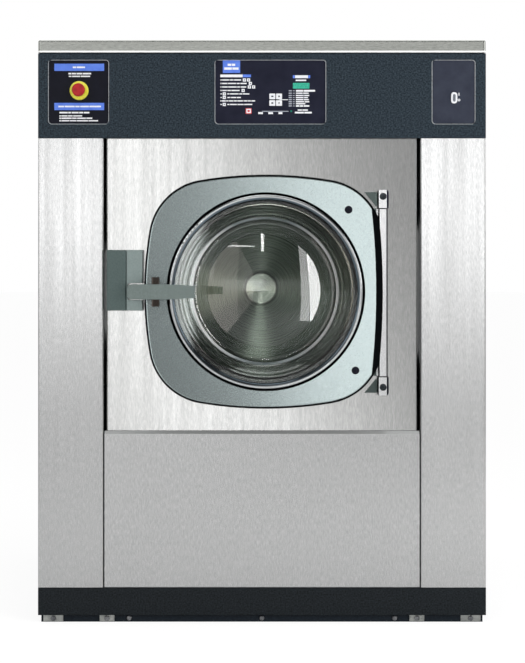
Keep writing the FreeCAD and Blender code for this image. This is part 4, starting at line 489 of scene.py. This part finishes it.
def twisted(mat, centre, rate):
    """Gives a sheet the slight twist of a folded plate: its skin falls with the product of the distances from
    a centre along X and Z, times a rate."""
    x, z = (step(mat, "ShaderNodeSeparateXYZ", {"Vector": from_centre(mat, centre)}, out=axis) for axis in "XZ")
    under_skin(mat, step(mat, "ShaderNodeBump", {"Height": combined(mat, "MULTIPLY", x, z)},
                         {"Strength": 1.0, "Distance": rate}, invert=True))


plate_steel = brushed_steel("front_plate_steel", (186, 187, 186), (204, 204, 203), 0.19, 2)
bowed(plate_steel, (-0.38, 0.0, 0.9), ACROSS, radius=34.0)
bowed(plate_steel, (0.0, 0.0, 1.0), UPRIGHT, radius=-12.5)
twisted(plate_steel, (-0.3, 0.0, 0.95), rate=0.045)
dress(plate_steel, "front_plate")


# Control fascia: folded sheet stoved in dark blue-grey fine texture paint, with three windows.
# A slim dark bead with a painted highlight on its left and lower sides is pressed round each window and holds
# the printed plate behind it.

def facing_left(mat):
    """One where the skin leans left and down by more than about 20 degrees, where a highlight is painted."""
    lean = step(mat, "ShaderNodeVectorMath", {0: place(mat, "Normal")}, {1: (-0.9, 0.0, -0.6)}, out="Value",
                operation="DOT_PRODUCT")
    return ranged(mat, lean, 0.1, 0.4)


def rounded_frame(width, height, corner, turns):
    """Points along a rounded rectangle about the origin, quarter circles joined by straight runs, and the way
    out of it at each point."""
    sweep = np.linspace(0.0, np.pi / 2.0, turns) + np.pi / 2.0 * np.arange(4)[:, None]
    out = np.stack([np.cos(sweep), np.sin(sweep)], -1)
    reach = np.array([width / 2.0 - corner, height / 2.0 - corner])
    middles = reach * [(1, 1), (-1, 1), (-1, -1), (1, -1)]
    return (middles[:, None, :] + corner * out).reshape(-1, 2), out.reshape(-1, 2)


def window_bead(name, centre, width, height, corner, bead, turns=10, around=12):
    """Bead along a rounded rectangle, carrying a round section whose front half stands on the fascia."""
    path, out = rounded_frame(width, height, corner, turns)
    phi = full_turn(around)
    flat = path[:, None, :] + out[:, None, :] * bead * np.cos(phi)[None, :, None]
    y = np.broadcast_to(FRONT - bead * np.sin(phi), flat.shape[:2])
    points = np.stack([centre[0] + flat[..., 0], y, centre[1] + flat[..., 1]], -1)
    return formed(name, points, woven(len(path), around, turned=True))


bead_steel = plated_steel("bead_steel", (64, 70, 76), (92, 98, 106), 0.3)
# Painted highlight: the bead's left and lower sides are painted near white and made less metallic.
painted_left_highlight = facing_left(bead_steel)
overlaid(bead_steel, painted_left_highlight, tone(226, 230, 233))
matted(bead_steel, painted_left_highlight, 0.3)
dress(painted_steel("fascia_paint", (9, 16, 23), (59, 71, 80), 0.42), "control_fascia")

PLATE_Z = 1.469
for label, x, width in (("estop", -0.507, 0.168), ("overlay", 0.024, 0.308), ("switch", 0.531, 0.120)):
    bead = window_bead(label + "_window_bead", (x, PLATE_Z), width - 0.001, height=0.177, corner=0.009,
                       bead=0.0015)
    fit(bead, bead_steel, "cabinet")


# Printed plates: polycarbonate film in dark navy and grey, screen printed from behind in blue and white.
# The print is plain bars, dashes and squares that stand for headings, lines of type and key signs.

def film(name, dark, light, rough):
    """Printed film: an even dark ground with a soft satin skin."""
    return surfaced(name, dark, light, rough, 0.0, cloud=(30.0, 4.0), wear=(400.0, 2.0, 0.05, 0.08),
                    pores=(1500.0, 2.0, 0.00001), gloss=0.2)


def printed(name, bars, front, mat, body="cabinet", thick=0.00015):
    """Print as thin closed films: each row of bars is x0, x1, z0, z1 in millimetres, and front is the depth
    in millimetres of the face it lies on."""
    x0, x1, z0, z1 = np.asarray(bars, float).T / 1000.0
    face = FRONT + front / 1000.0
    x = np.stack([x0, x1, x1, x0] * 2, -1)
    z = np.stack([z0, z0, z1, z1] * 2, -1)
    y = np.broadcast_to(np.array([face - thick] * 4 + [face + thick] * 4), x.shape)
    block = np.array([[0, 1, 2, 3], [7, 6, 5, 4], [0, 4, 5, 1], [1, 5, 6, 2], [2, 6, 7, 3], [3, 7, 4, 0]])
    piece = formed(name, np.stack([x, y, z], -1), repeated(block, len(x), 8), smooth=False)
    fit(piece, mat, body)


def about(x, z, wide, tall):
    """Bar of a width and a height about its middle."""
    return x - wide / 2.0, x + wide / 2.0, z - tall / 2.0, z + tall / 2.0


def dashes(x0, x1, z, height, words):
    """A line of type as dashes: the run is shared out by the given word lengths with a fixed gap between."""
    share = np.asarray(words, float)
    gap = 1.6
    scale = (x1 - x0 - gap * (len(words) - 1)) / share.sum()
    start = x0 + np.concatenate([[0.0], np.cumsum(share * scale + gap)[:-1]])
    return [about(x + run / 2.0, z, run, height) for x, run in zip(start, share * scale)]


def typed(*lines):
    """Several lines of type, each with its start, end, height above the floor, size and words."""
    return [dash for line in lines for dash in dashes(*line)]


overlay_film = film("overlay_film", (26, 28, 43), (34, 36, 51), 0.36)
blue_ink = film("blue_ink", (84, 118, 214), (102, 136, 228), 0.4)
white_ink = film("white_ink", (226, 228, 232), (240, 241, 244), 0.42)
pale_ink = film("pale_ink", (160, 164, 176), (178, 182, 192), 0.42)

dress(film("navy_film", (12, 14, 26), (19, 21, 34), 0.34), "estop_plate")
dress(overlay_film, "control_overlay")
dress(film("grey_film", (48, 52, 64), (58, 62, 74), 0.36), "switch_plate")

PLATE_FACE, INK_FACE, DOT_FACE = 2.5, 2.34, 2.2
printed("estop_bars", [(-575, -437, 1527, 1547), (-575, -437, 1418.5, 1438.5)], PLATE_FACE, blue_ink)
printed("estop_lines", typed(
    (-524, -490, 1537, 4.4, (2, 5)), (-536, -473, 1519.5, 4.2, (2, 3, 4, 6)),
    (-535, -476, 1512, 3.4, (2, 6, 7)), (-564, -446, 1428.5, 4.2, (4, 7, 3, 6, 8)),
    (-561, -478, 1411.5, 4.4, (6, 2, 5, 3, 4)), (-561, -498, 1402.5, 3.4, (1, 4, 3, 6)),
    (-561, -470, 1396, 3.8, (1, 7, 3, 6, 4)), (-561, -454, 1389, 3.2, (1, 5, 4, 7, 6))),
    INK_FACE, white_ink)

line_z = (1502.0, 1492.3, 1482.6, 1472.9, 1463.4, 1453.4, 1444.0, 1434.2)
list_z = (1472.0, 1465.4, 1459.0, 1453.2, 1447.4, 1441.6, 1436.0, 1430.0)
list_lines = ((147, 5.0, (5, 8)), (129, 3.2, (5, 4)), (131, 3.2, (6, 4)), (127, 3.2, (6, 3)),
              (130, 3.2, (6, 4)), (131, 3.2, (7, 4)), (120, 3.2, (6,)), (131, 4.2, (3, 3, 5)))
signs = ((-48.8, 0), (-37.3, 0), (-32.2, 1), (-35.0, 2), (-23.2, 2), (-52.2, 3), (-104.4, 4), (-104.4, 5),
         (-104.4, 7))
printed("overlay_title", [(-108.5, -60.5, 1521.5, 1557.0), (-53.0, -30.5, 1509.5, 1517.0),
                          (85.5, 91.0, 1507.0, 1515.0), (128.0, 133.5, 1507.0, 1515.0)],
        PLATE_FACE, blue_ink)
title_lines = typed((-95, -74, 1544, 6.0, (3, 3)), (-104.5, -65, 1533.5, 6.4, (5, 4)))
headings = [(-115.3, -53.5, 1509.5, 1517.0), (91.5, 127.5, 1507.0, 1515.0)]
left_lines = typed(
    (-115, -58, line_z[0], 3.4, (1, 6, 3, 6)), (-115, -42.5, line_z[1], 3.4, (1, 5, 8, 3, 6)),
    (-115, -43.5, line_z[2], 3.4, (1, 6, 9, 3, 6)), (-115, -62, line_z[3], 3.4, (1, 4, 3, 7)),
    (-115, -111, line_z[4], 2.6, (1,)), (-96, -35, line_z[4], 3.2, (2, 8, 3, 6)),
    (-115, -111, line_z[5], 2.6, (1,)), (-96, -58.5, line_z[5], 3.2, (3, 5, 4)),
    (-115, -19, line_z[6], 3.4, (1, 4, 2, 5, 3, 6, 4, 3, 4)),
    (-115, -111, line_z[7], 2.6, (1,)), (-96, -27, line_z[7], 3.2, (2, 7, 6, 8)),
    (93.5, 122.5, 1501.0, 4.0, (7,)))
key_rule = [(48.5, 71.8, 1446.4, 1448.4)]
right_lines = typed(*((94, end, z, size, words) for z, (end, size, words) in zip(list_z, list_lines)),
                    (99, 127, 1418.6, 3.6, (3, 4)), (91, 138, 1411.6, 4.6, (6, 5)))
foot_bars = [(-10.5, 2.5, 1407.5, 1413.0), (17.5, 30.5, 1407.5, 1413.0), (45.5, 56.5, 1407.5, 1413.0)]
printed("overlay_lines", title_lines + headings + left_lines + key_rule + right_lines + foot_bars,
        INK_FACE, white_ink)
printed("overlay_signs", [about(x, line_z[line], 8.6, 8.6) for x, line in signs], PLATE_FACE, white_ink)
printed("overlay_sign_dots", [about(x, line_z[line], 2.8, 2.8) for x, line in signs], DOT_FACE, overlay_film)
pale_bars = [(x0, x1, z - half, z + half) for x0, x1, half in ((74.0, 82.5, 1.5), (85.5, 90.5, 1.0))
             for z in list_z] + [(-0.5, 73.5, 1414.2, 1416.2)]
printed("overlay_pale_lines", pale_bars, PLATE_FACE, pale_ink)
lamp_lens = finish("green_lamp_lens", tone(30, 120, 100), 0.0, 0.25)
mottle(lamp_lens, grain(lamp_lens, 900.0), tone(20, 96, 80), tone(44, 140, 116))
ready_lamp = domed_heads("ready_lamp", [(0.0808, FRONT + 0.0025, 1.4155)], -1.0, radius=0.0028, height=0.0009)
fit(ready_lamp, lamp_lens, "cabinet")


# Emergency stop: a moulded yellow collar clamped through the plate, with a red mushroom head that is
# pushed in on a black stem and twisted to let go. Gloss moulded plastic with a faint flow mottle.

def moulding(name, dark, light, rough):
    """Injection moulded plastic: a faint flow mottle under a fine spark-eroded skin."""
    return surfaced(name, dark, light, rough, 0.0, cloud=(80.0, 4.0), wear=(300.0, 2.0, 0.06, 0.08),
                    pores=(1800.0, 2.0, 0.000012))


black_moulding = moulding("black_moulding", (24, 24, 26), (36, 36, 39), 0.45)

dress(moulding("yellow_moulding", (222, 218, 60), (240, 236, 92), 0.32), "estop_base")
dress(moulding("red_moulding", (140, 14, 20), (184, 26, 30), 0.36), "estop_head")
dress(black_moulding, "estop_stem", "drive_inverter")


# Keys and display: white moulded key caps through the overlay over a green circuit board, a red edged
# stop key, and a backlit liquid crystal display. The signs on the caps are plain printed squares.

sign_ink = film("sign_ink", (50, 54, 66), (62, 66, 78), 0.42)
red_ink = film("red_ink", (190, 40, 52), (206, 58, 66), 0.4)
lit_display = finish("lit_display", tone(40, 168, 138), 0.0, 0.2)
mottle(lit_display, grain(lit_display, (900.0, 900.0, 320.0), 2.0), tone(18, 128, 104), tone(62, 196, 164))

dress(moulding("white_moulding", (222, 224, 228), (238, 239, 242), 0.34),
      "stop_key", "key_1", "key_2", "key_3", "key_4", "main_switch")
dress(painted_steel("circuit_board", (20, 78, 46), (30, 96, 58), 0.4), "control_board")
dress(lit_display, "display_module")

KEY_FACE = 1.3
key_marks = ((28.6, 1456.5, 6.0, 3.6), (47.2, 1456.5, 4.2, 4.2),
             (28.6, 1438.1, 5.0, 4.4), (47.2, 1438.1, 4.0, 3.0))
for number, (x, z, wide, tall) in enumerate(key_marks, 1):
    printed("key_%d_sign" % number, [about(x, z, wide, tall)], KEY_FACE, sign_ink,
            "keypad_%d" % number)
left, right, foot, head, rim = -45.25, -28.75, 1408.25, 1423.75, 1.6
printed("stop_key_edge", [(left, right, foot, foot + rim), (left, right, head - rim, head),
                          (left, left + rim, foot + rim, head - rim),
                          (right - rim, right, foot + rim, head - rim)],
        KEY_FACE, red_ink, "stop_button")
printed("stop_key_sign", [(-40, -34, 1413.6, 1418.4)], KEY_FACE, red_ink, "stop_button")


# Main switch: a white rocker in the grey plate, with a grey inlay on its face and the usual bar and ring
# printed beside it for on and off. The inlay leans with the rocker by 7 degrees.

FILM_HALF = 0.15
ROCKER_PIVOT = 5.0


def inlay(name, centre, width, height, lift, lean, turns=16):
    """Flat capsule as a closed film: two half circles joined by straight sides, leaned about the rocker's
    pivot by the given angle. All lengths are in millimetres."""
    r = width / 2.0
    sweep = np.linspace(0.0, np.pi, turns)
    top = np.stack([r * np.cos(sweep), height / 2.0 - r + r * np.sin(sweep)], -1)
    ring = np.concatenate([top, -top])
    n = len(ring)
    x, z = np.tile(ring[:, 0], 2), np.tile(ring[:, 1], 2)
    back = np.repeat([lift - FILM_HALF, lift + FILM_HALF], n) - ROCKER_PIVOT
    c, s = math.cos(math.radians(lean)), math.sin(math.radians(lean))
    points = np.stack([centre[0] + x, FRONT * 1000.0 + ROCKER_PIVOT + back * c - z * s,
                       centre[1] + back * s + z * c], -1) / 1000.0
    k = np.arange(n)
    sides = np.stack([k, n + k, n + (k + 1) % n, (k + 1) % n], -1).tolist()
    return formed(name, points, [k.tolist(), (n + k[::-1]).tolist()] + sides, smooth=False)


def ring_mark(name, centre, outer, inner, front, turns=32):
    """Printed ring as a closed film: four circles, two wide and two narrow, at the front and the back. All
    lengths are in millimetres."""
    turn = full_turn(turns)[:, None]
    r = np.array([outer, outer, inner, inner])
    y = np.broadcast_to(front + FILM_HALF * np.array([-1.0, 1.0, 1.0, -1.0]), (turns, 4))
    points = np.stack([centre[0] + r * np.cos(turn), FRONT * 1000.0 + y, centre[1] + r * np.sin(turn)], -1)
    return formed(name, points / 1000.0, woven(turns, 4, turned=True), smooth=False)


rocker_inlay = inlay("rocker_inlay", (532.0, 1453.0), width=7.5, height=21.0, lift=-2.5, lean=7.0)
fit(rocker_inlay, moulding("grey_moulding", (96, 100, 108), (116, 120, 128), 0.4), "power_rocker")
printed("on_mark", [(544.6, 546.6, 1458.5, 1466.5)], PLATE_FACE, white_ink)
off_mark = ring_mark("off_mark", (545.6, 1446.5), outer=3.6, inner=1.8, front=PLATE_FACE)
fit(off_mark, white_ink, "cabinet")


# Door frame: a heavy aluminium casting in a bowed square, blasted and lacquered to a satin grey-green,
# with a bright turned ring that clamps the glass. It carries the ears of the handle.

def satin_casting(name, dark, light, rough, metal=0.75):
    """Blasted and lacquered casting: metal under a tinted lacquer with a fine sandy skin."""
    return surfaced(name, dark, light, rough, metal, cloud=(420.0, 5.0), wear=(600.0, 3.0, 0.03, 0.04),
                    pores=(1100.0, 2.0, 0.00003))


def inside(mat, start, end):
    """Nothing beyond the start radius about the drum's axis and one within the end radius."""
    return ranged(mat, off_axis(mat, DRUM_CENTRE, ROUND), start, end)


door_casting = satin_casting("door_casting", (146, 157, 157), (165, 176, 176), 0.25, 0.9)
bowed(door_casting, DRUM_CENTRE, ACROSS, radius=-2.1)
bowed(door_casting, (DRUM_AXIS[0], 0.0, 1.05), UPRIGHT, radius=-5.0)
twisted(door_casting, DRUM_CENTRE, rate=-0.042)
# Painted shade: the casting's rounded edges, bevels and sides, wherever the skin turns away from the front, are
# painted nearly black.
overlaid(door_casting, facing_aside(door_casting, 0.95, 0.985), tone(17, 20, 22))
overlaid(door_casting, past(door_casting, "Y", FRONT - 0.026, FRONT - 0.027), tone(72, 66, 62))
handle_casting = satin_casting("handle_casting", (121, 133, 130), (139, 151, 148), 0.4)
bright_ring = lathe_turned("bright_ring", (204, 208, 210), (232, 235, 236), 0.14, rings=700.0, height=0.00001)
bowed(bright_ring, DRUM_CENTRE, ROUND, radius=-1.24)
# Painted shade: the inner part of the ring, within about 0.26 m of the axis, is painted a darker blue-grey.
overlaid(bright_ring, inside(bright_ring, 0.2605, 0.2585), tone(104, 116, 124))

dress(door_casting, "door_frame")
dress(bright_ring, "glass_ring")


# Door glass: a thick pressed bowl that reaches into the drum mouth, with a domed foot and a flat rim
# held under the ring. Clear borosilicate with a faint green cast, with a painted reflection clouding its neck
# on the left and at the foot.

def leaning(mat, lean, start, end, most):
    """Nothing before start and the most after end, measured from the drum's axis in one direction across it."""
    along = step(mat, "ShaderNodeVectorMath", {0: place(mat)}, {1: (lean[0], 0.0, lean[1])}, out="Value",
                 operation="DOT_PRODUCT")
    middle = lean[0] * DRUM_AXIS[0] + lean[1] * DRUM_AXIS[1]
    return ranged(mat, along, middle + start, middle + end, 0.0, most)


door_glass = finish("door_glass", (0.80, 0.86, 0.84, 1.0), 0.0, 0.02)
skin(door_glass)["Transmission Weight"].default_value = 1.0
skin(door_glass)["IOR"].default_value = 1.47
spread(door_glass, grain(door_glass, 5.0, 3.0), 0.0, 0.03)
wavy_neck = combined(door_glass, "MULTIPLY", ring_marks(door_glass, 130.0, 1.0),
                     inside(door_glass, 0.196, 0.204))
relief(door_glass, wavy_neck, 0.0015)
# Painted reflection: less light passes through the wavy neck on the left and at the foot, so its pale base
# colour shows there as a brightening.
left_reflection_share = leaning(door_glass, (-0.994, 0.105), start=0.115, end=0.205, most=0.85)
foot_reflection_share = leaning(door_glass, (0.05, -0.999), start=0.190, end=0.212, most=0.62)
painted_neck_reflection = combined(door_glass, "MULTIPLY", wavy_neck, combined(door_glass, "MAXIMUM", left_reflection_share, foot_reflection_share))
spread(door_glass, painted_neck_reflection, 1.0, 0.62, "Transmission Weight")
dress(door_glass, "door_glass")


def highlight_rings(name, rings, tube, turns=120, around=10):
    """Fine round rings inside the bowl that carry a painted highlight: circles of the given radius and depth
    about the door's axis, each carrying a small circle as its section."""
    t, p = grid(full_turn(turns), full_turn(around))
    radius, depth = (np.asarray(rings)[:, k, None, None] for k in (0, 1))
    r = radius + tube * np.cos(p)
    points = np.stack([DRUM_AXIS[0] + r * np.cos(t), FRONT + depth + tube * np.sin(p),
                       DRUM_AXIS[1] + r * np.sin(t)], -1)
    return formed(name, points, repeated(woven(turns, around, turned=True), len(rings), turns * around))


# Painted highlight: thin pale rings at the glass foot, painted nearly white on their left and right sides.
foot_line_highlight = finish("foot_line_highlight", tone(220, 230, 232), 0.0, 0.12)
mottle(foot_line_highlight, grain(foot_line_highlight, 9.0, 3.0), tone(96, 106, 108), tone(196, 204, 206))
for start, end in ((0.09, 0.17), (-0.07, -0.15)):
    overlaid(foot_line_highlight, past(foot_line_highlight, "X", start, end), tone(253, 254, 254))
foot_lines = highlight_rings("glass_foot_lines", [(0.2072, 0.1130), (0.2042, 0.1235)], tube=0.0012)
fit(foot_lines, foot_line_highlight, "door")


# Hinge: a bright drawn bar bolted behind the door turns on spigots in two blocks on the front plate.
# Blocks and bar are ground stainless. The door's socket bolts are blackened, the hinge's are dull grey.

def collar(name, levels, x0, x1, front, back, corner, inward, turns=8):
    """Thin dark rings round the bar, a painted shade for the gaps between the blocks and the bar: a rounded
    rectangle in plan, carrying a flat section that reaches inwards, one at each pair of heights."""
    rim, out = rounded_frame(x1 - x0, back - front, corner, turns)
    bore = rim - inward * out
    plan = np.stack([rim, rim, bore, bore], 1) + [(x0 + x1) / 2.0, (front + back) / 2.0]
    height = np.asarray(levels)[:, None, [0, 1, 1, 0], None]
    size = (len(levels), len(rim), 4)
    points = np.concatenate([np.broadcast_to(plan, size + (2,)), np.broadcast_to(height, size + (1,))], -1)
    return formed(name, points, repeated(woven(len(rim), 4), len(levels), len(rim) * 4), smooth=False)


hinge_steel = brushed_steel("hinge_steel", (240, 241, 242), (252, 252, 253), 0.2, 2)
# Painted shade: the hinge's rounded edges, where the skin turns away from the front, and a strip along the
# bar's right side are painted dark. Left of X 0.318 the blocks are a darker grey-green.
overlaid(hinge_steel, facing_aside(hinge_steel, 0.93, 0.99), tone(20, 22, 28))
BAR_RIGHT_SHADE, BAR_LEFT = (0.3437, 0.3446), (0.3185, 0.3178)
overlaid(hinge_steel, past(hinge_steel, "X", *BAR_RIGHT_SHADE), tone(26, 28, 46))
overlaid(hinge_steel, past(hinge_steel, "X", *BAR_LEFT), tone(92, 102, 100))
dress(hinge_steel, "hinge_bar", "hinge_blocks")
dress(plated_steel("blackened_steel", (34, 34, 42), (58, 58, 68), 0.42), "door_bolts")
dress(plated_steel("grey_bolt_steel", (52, 56, 60), (88, 94, 98), 0.36), "hinge_bolts")
# Painted shade: black rubber rings stand in for the dark gaps between the hinge blocks and the bar.
gap_shade_rings = collar("hinge_gap_shade_rings", [(0.6796, 0.6826), (1.1439, 1.1469)], x0=0.3206, x1=0.3474, front=-0.6529,
                 back=-0.6221, corner=0.0054, inward=0.004)
fit(gap_shade_rings, door_rubber, "door")


# Latch: a dark housing with the sliding lock bolt, a lighter keeper beside it, and the cast lever that
# reaches across the door. All three are lacquered castings, and the bolt is ground steel.

dress(satin_casting("latch_lacquer", (96, 111, 109), (110, 125, 123), 0.5), "latch_housing")
dress(satin_casting("keeper_lacquer", (147, 161, 159), (163, 177, 175), 0.46), "latch_keeper")
dress(handle_casting, "door_handle")
dress(ground_rod, "lock_bolt")


# Water and power: brass inlet valves with their spouts, a black moulded drain valve, outlet pipe and cable
# gland. A ribbed rubber hose joins the tub's drain neck to the valve.

def bellows_hose(name, centre, low, high, inner, outer, rise, ribs, rows=49, turns=48):
    """Ribbed hose turned about an upright axis: its skin swells by the upper half of a cosine at each rib and
    by nothing at the ends, and closes over both ends to a plain bore."""
    u = np.linspace(0.0, 1.0, rows)
    wave = np.maximum(np.cos(2.0 * np.pi * (ribs + 1) * u), 0.0) * (1.0 - (2.0 * u - 1.0) ** 8)
    radius = np.concatenate([outer + rise * wave, [inner, inner]])
    height = np.concatenate([low + (high - low) * u, [high, low]])
    t, r = grid(full_turn(turns), radius)
    z = np.broadcast_to(height, r.shape)
    points = np.stack([centre[0] + r * np.cos(t), centre[1] + r * np.sin(t), z], -1)
    return formed(name, points, woven(turns, len(radius)))


dress(plated_steel("plain_brass", (176, 140, 76), (206, 170, 98), 0.34), "inlet_valves")
dress(black_moulding, "drain_valve", "drain_outlet", "cable_gland")
bellows = bellows_hose("drain_hose", (DRUM_AXIS[0], -0.0375), low=0.334, high=0.418, inner=0.0383, outer=0.046,
                       rise=0.008, ribs=3)
bellows.data.materials.append(door_rubber)
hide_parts("drain_bellows")
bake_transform(bellows)


# Studio: a pale floor that runs into a white backdrop, and soft boxes. Some light only the glass or the door,
# as a window, a wall and strip lights would. The camera stands 5.3 m in front at chest height and looks
# straight at the machine, with the frame shifted as in the photo.

def studio_floor(name, size, rings=24, turns=64):
    """Round floor disc at height zero: radius by the square of one parameter, angle by the other."""
    r, t = grid(size * np.linspace(0.02, 1.0, rings) ** 2, full_turn(turns))
    ring = np.stack([r * np.cos(t), r * np.sin(t), np.zeros_like(r)], -1).reshape(-1, 3)
    hub, sides = capped(rings, turns)
    points = np.concatenate([[[0.0, 0.0, 0.0]], ring])
    return formed(name, points, hub.tolist() + sides.tolist(), smooth=False)


floor = studio_floor("studio_floor", size=60.0)
WHITE = (1.0, 1.0, 1.0, 1.0)
floor_paper = finish("floor_paper", (0.7, 0.7, 0.7, 1.0), 0.0, 0.9)
seen = step(floor_paper, "ShaderNodeLightPath", {}, out="Is Camera Ray")
glow_share = step(floor_paper, "ShaderNodeMath", {0: seen}, {1: 0.72}, operation="MULTIPLY")
glow = step(floor_paper, "ShaderNodeEmission", {}, {"Color": WHITE, "Strength": 1.2})
paper_nodes = floor_paper.node_tree.nodes
plain = paper_nodes["Principled BSDF"].outputs["BSDF"]
paper = step(floor_paper, "ShaderNodeMixShader", {"Fac": glow_share, 1: plain, 2: glow})
floor_paper.node_tree.links.new(paper, paper_nodes["Material Output"].inputs["Surface"])
floor.data.materials.append(floor_paper)

world = bpy.data.worlds.new("studio_world")
world.use_nodes = True
bpy.context.scene.world = world
room = world.node_tree.nodes["Background"]
room.inputs["Strength"].default_value = 1.0
room.inputs["Color"].default_value = (0.56, 0.56, 0.56, 1.0)


def toward(axis):
    """Share of a direction in the room along one axis."""
    return step(world, "ShaderNodeSeparateXYZ", {"Vector": place(world, "Generated")}, out=axis)


def graded(axis, start, end, stops):
    """Brightness of the room along one axis of direction, from start to end, by stops of value and level."""
    shades = step(world, "ShaderNodeValToRGB", {"Fac": ranged(world, toward(axis), start, end)})
    ramp = shades.node.color_ramp.elements
    for value, _ in stops[1:-1]:
        ramp.new((value - start) / (end - start))
    for stop, (value, level) in zip(ramp, stops):
        stop.position = (value - start) / (end - start)
        stop.color = (level, level, level, 1.0)
    return shades


def crossed(one, other, light):
    """Two gradients multiplied together and by the light of what stands there."""
    both = step(world, "ShaderNodeVectorMath", {0: one, 1: other}, operation="MULTIPLY")
    return step(world, "ShaderNodeVectorMath", {0: both}, {1: light}, operation="MULTIPLY")


far_end = crossed(
    graded("Z", 0.0, 1.0, ((0.0, 1.0), (0.07, 1.0), (0.1, 0.34), (0.14, 0.17), (0.35, 0.12), (0.6, 0.1),
                           (1.0, 0.08))),
    graded("X", -1.0, 1.0, ((-1.0, 0.06), (-0.2, 0.34), (-0.1, 0.95), (-0.03, 1.0), (0.0, 0.77), (0.04, 0.45),
                            (0.08, 0.28), (0.13, 0.2), (0.45, 0.16), (1.0, 0.06))),
    (3.5, 3.5, 3.5))
behind = ranged(world, toward("Y"), -0.05, 0.15)
around = step(world, "ShaderNodeMix", {0: behind, 6: far_end}, {7: WHITE}, out=2, data_type="RGBA")
mirrored = step(world, "ShaderNodeBackground", {"Color": around}, {"Strength": 1.0})
backdrop = step(world, "ShaderNodeBackground", {}, {"Color": WHITE})
glossy, through, straight = (step(world, "ShaderNodeLightPath", {}, out=ray)
                             for ray in ("Is Glossy Ray", "Is Transmission Ray", "Is Camera Ray"))
in_metal = step(world, "ShaderNodeMixShader", {"Fac": combined(world, "MAXIMUM", glossy, through),
                                     1: room.outputs["Background"], 2: mirrored})
to_lens = step(world, "ShaderNodeMixShader", {"Fac": straight, 1: in_metal, 2: backdrop})
world.node_tree.links.new(to_lens, world.node_tree.nodes["World Output"].inputs["Surface"])


def only_on(name, *pieces):
    """Group of pieces that a light is meant for, so that it shows in no other."""
    group = bpy.data.collections.new(name)
    for piece in pieces:
        group.objects.link(piece)
    return group


in_glass = only_on("in_glass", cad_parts["door_glass"])
on_door = only_on("on_door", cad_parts["door_frame"])


def soft_box(name, stand, target, width, height, watts, group=None, mirrored=True, tint=(1.0, 1.0, 1.0)):
    """Rectangular soft light that faces a point. It doesn't show through glass, and may be kept to a group."""
    lamp = bpy.data.lights.new(name, "AREA")
    lamp.shape = "RECTANGLE"
    lamp.size = width
    lamp.size_y = height
    lamp.energy = watts
    lamp.color = tint
    box = bpy.data.objects.new(name, lamp)
    box.location = stand
    box.rotation_euler = (Vector(target) - Vector(stand)).to_track_quat("-Z", "Y").to_euler()
    box.visible_camera = False
    box.visible_transmission = False
    box.visible_glossy = mirrored
    if group:
        box.light_linking.receiver_collection = group
    bpy.context.scene.collection.objects.link(box)


MACHINE_FACE, GLASS_MIDDLE = (0.0, -0.6, 0.9), (0.01, -0.5, 0.92)
WARM_WALL, WARM_DRUM = (1.0, 0.93, 0.87), (1.0, 0.88, 0.80)
soft_box("left_box", (-3.0, -3.8, 2.6), MACHINE_FACE, 2.6, 2.6, 32.0)
soft_box("side_box", (4.4, -3.2, 2.3), MACHINE_FACE, 2.4, 2.4, 50.0)
soft_box("right_box", (2.13, -3.9, 1.4), (0.1, -0.6, 0.95), 1.1, 2.6, 60.0, mirrored=False)
soft_box("door_box", (-1.5, -4.35, 0.95), (0.1, -0.66, 0.92), 2.6, 1.9, 28.0, on_door)
soft_box("aisle_near", (-0.75, -2.15, 1.15), (0.0, -2.15, 1.15), 2.7, 2.3, 46.0, in_glass, tint=WARM_WALL)
soft_box("aisle_far", (-0.75, -6.2, 1.15), (0.0, -6.2, 1.15), 5.4, 2.3, 50.0, in_glass, tint=WARM_WALL)
soft_box("window_shade", (1.15, -2.98, 1.3), GLASS_MIDDLE, 0.26, 2.8, 18.0, in_glass)
soft_box("window_light", (1.81, -2.46, 1.3), GLASS_MIDDLE, 1.5, 2.8, 270.0, in_glass)
soft_box("ceiling_strip", (0.0, -5.1, 3.1), (0.0, -5.1, 0.0), 0.12, 2.4, 22.0, in_glass)
soft_box("far_strip", (-0.9, -4.5, 2.75), (0.0, -0.6, 1.0), 1.2, 0.07, 4.0, in_glass)
soft_box("drum_lamp", (0.01, -0.44, 0.735), (0.01, 0.06, 0.80), 0.06, 0.04, 0.16)
soft_box("drum_side", (-0.17, -0.44, 0.90), (-0.14, 0.06, 0.90), 0.10, 0.16, 0.23, tint=WARM_DRUM)
soft_box("top_fill", (0.3, -0.9, 4.2), (0.0, 0.0, 1.0), 3.0, 2.0, 30.0)

FRAME_W, FRAME_H = 525.0, 663.0
MM_PER_PIXEL = 2.768
MIDDLE_PIXEL, FLOOR_PIXEL = 262.0, 622.5
SENSOR = 36.0
EYE = (-0.100, 0.995)
DISTANCE = 5.3
eye_pixel = (MIDDLE_PIXEL + EYE[0] * 1000.0 / MM_PER_PIXEL, FLOOR_PIXEL - EYE[1] * 1000.0 / MM_PER_PIXEL)
lens = bpy.data.cameras.new("photo_camera")
lens.sensor_fit = "AUTO"
lens.sensor_width = SENSOR
lens.lens = SENSOR * DISTANCE * 1000.0 / MM_PER_PIXEL / FRAME_H
lens.shift_x = (FRAME_W / 2.0 - eye_pixel[0]) / FRAME_H
lens.shift_y = (eye_pixel[1] - FRAME_H / 2.0) / FRAME_H
lens.clip_end = 200.0
camera = bpy.data.objects.new("photo_camera", lens)
camera.location = (EYE[0], FRONT - DISTANCE, EYE[1])
camera.rotation_euler = (math.radians(90.0), 0.0, 0.0)
bpy.context.scene.collection.objects.link(camera)
bpy.context.scene.camera = camera
bpy.context.scene.view_settings.view_transform = "Standard"
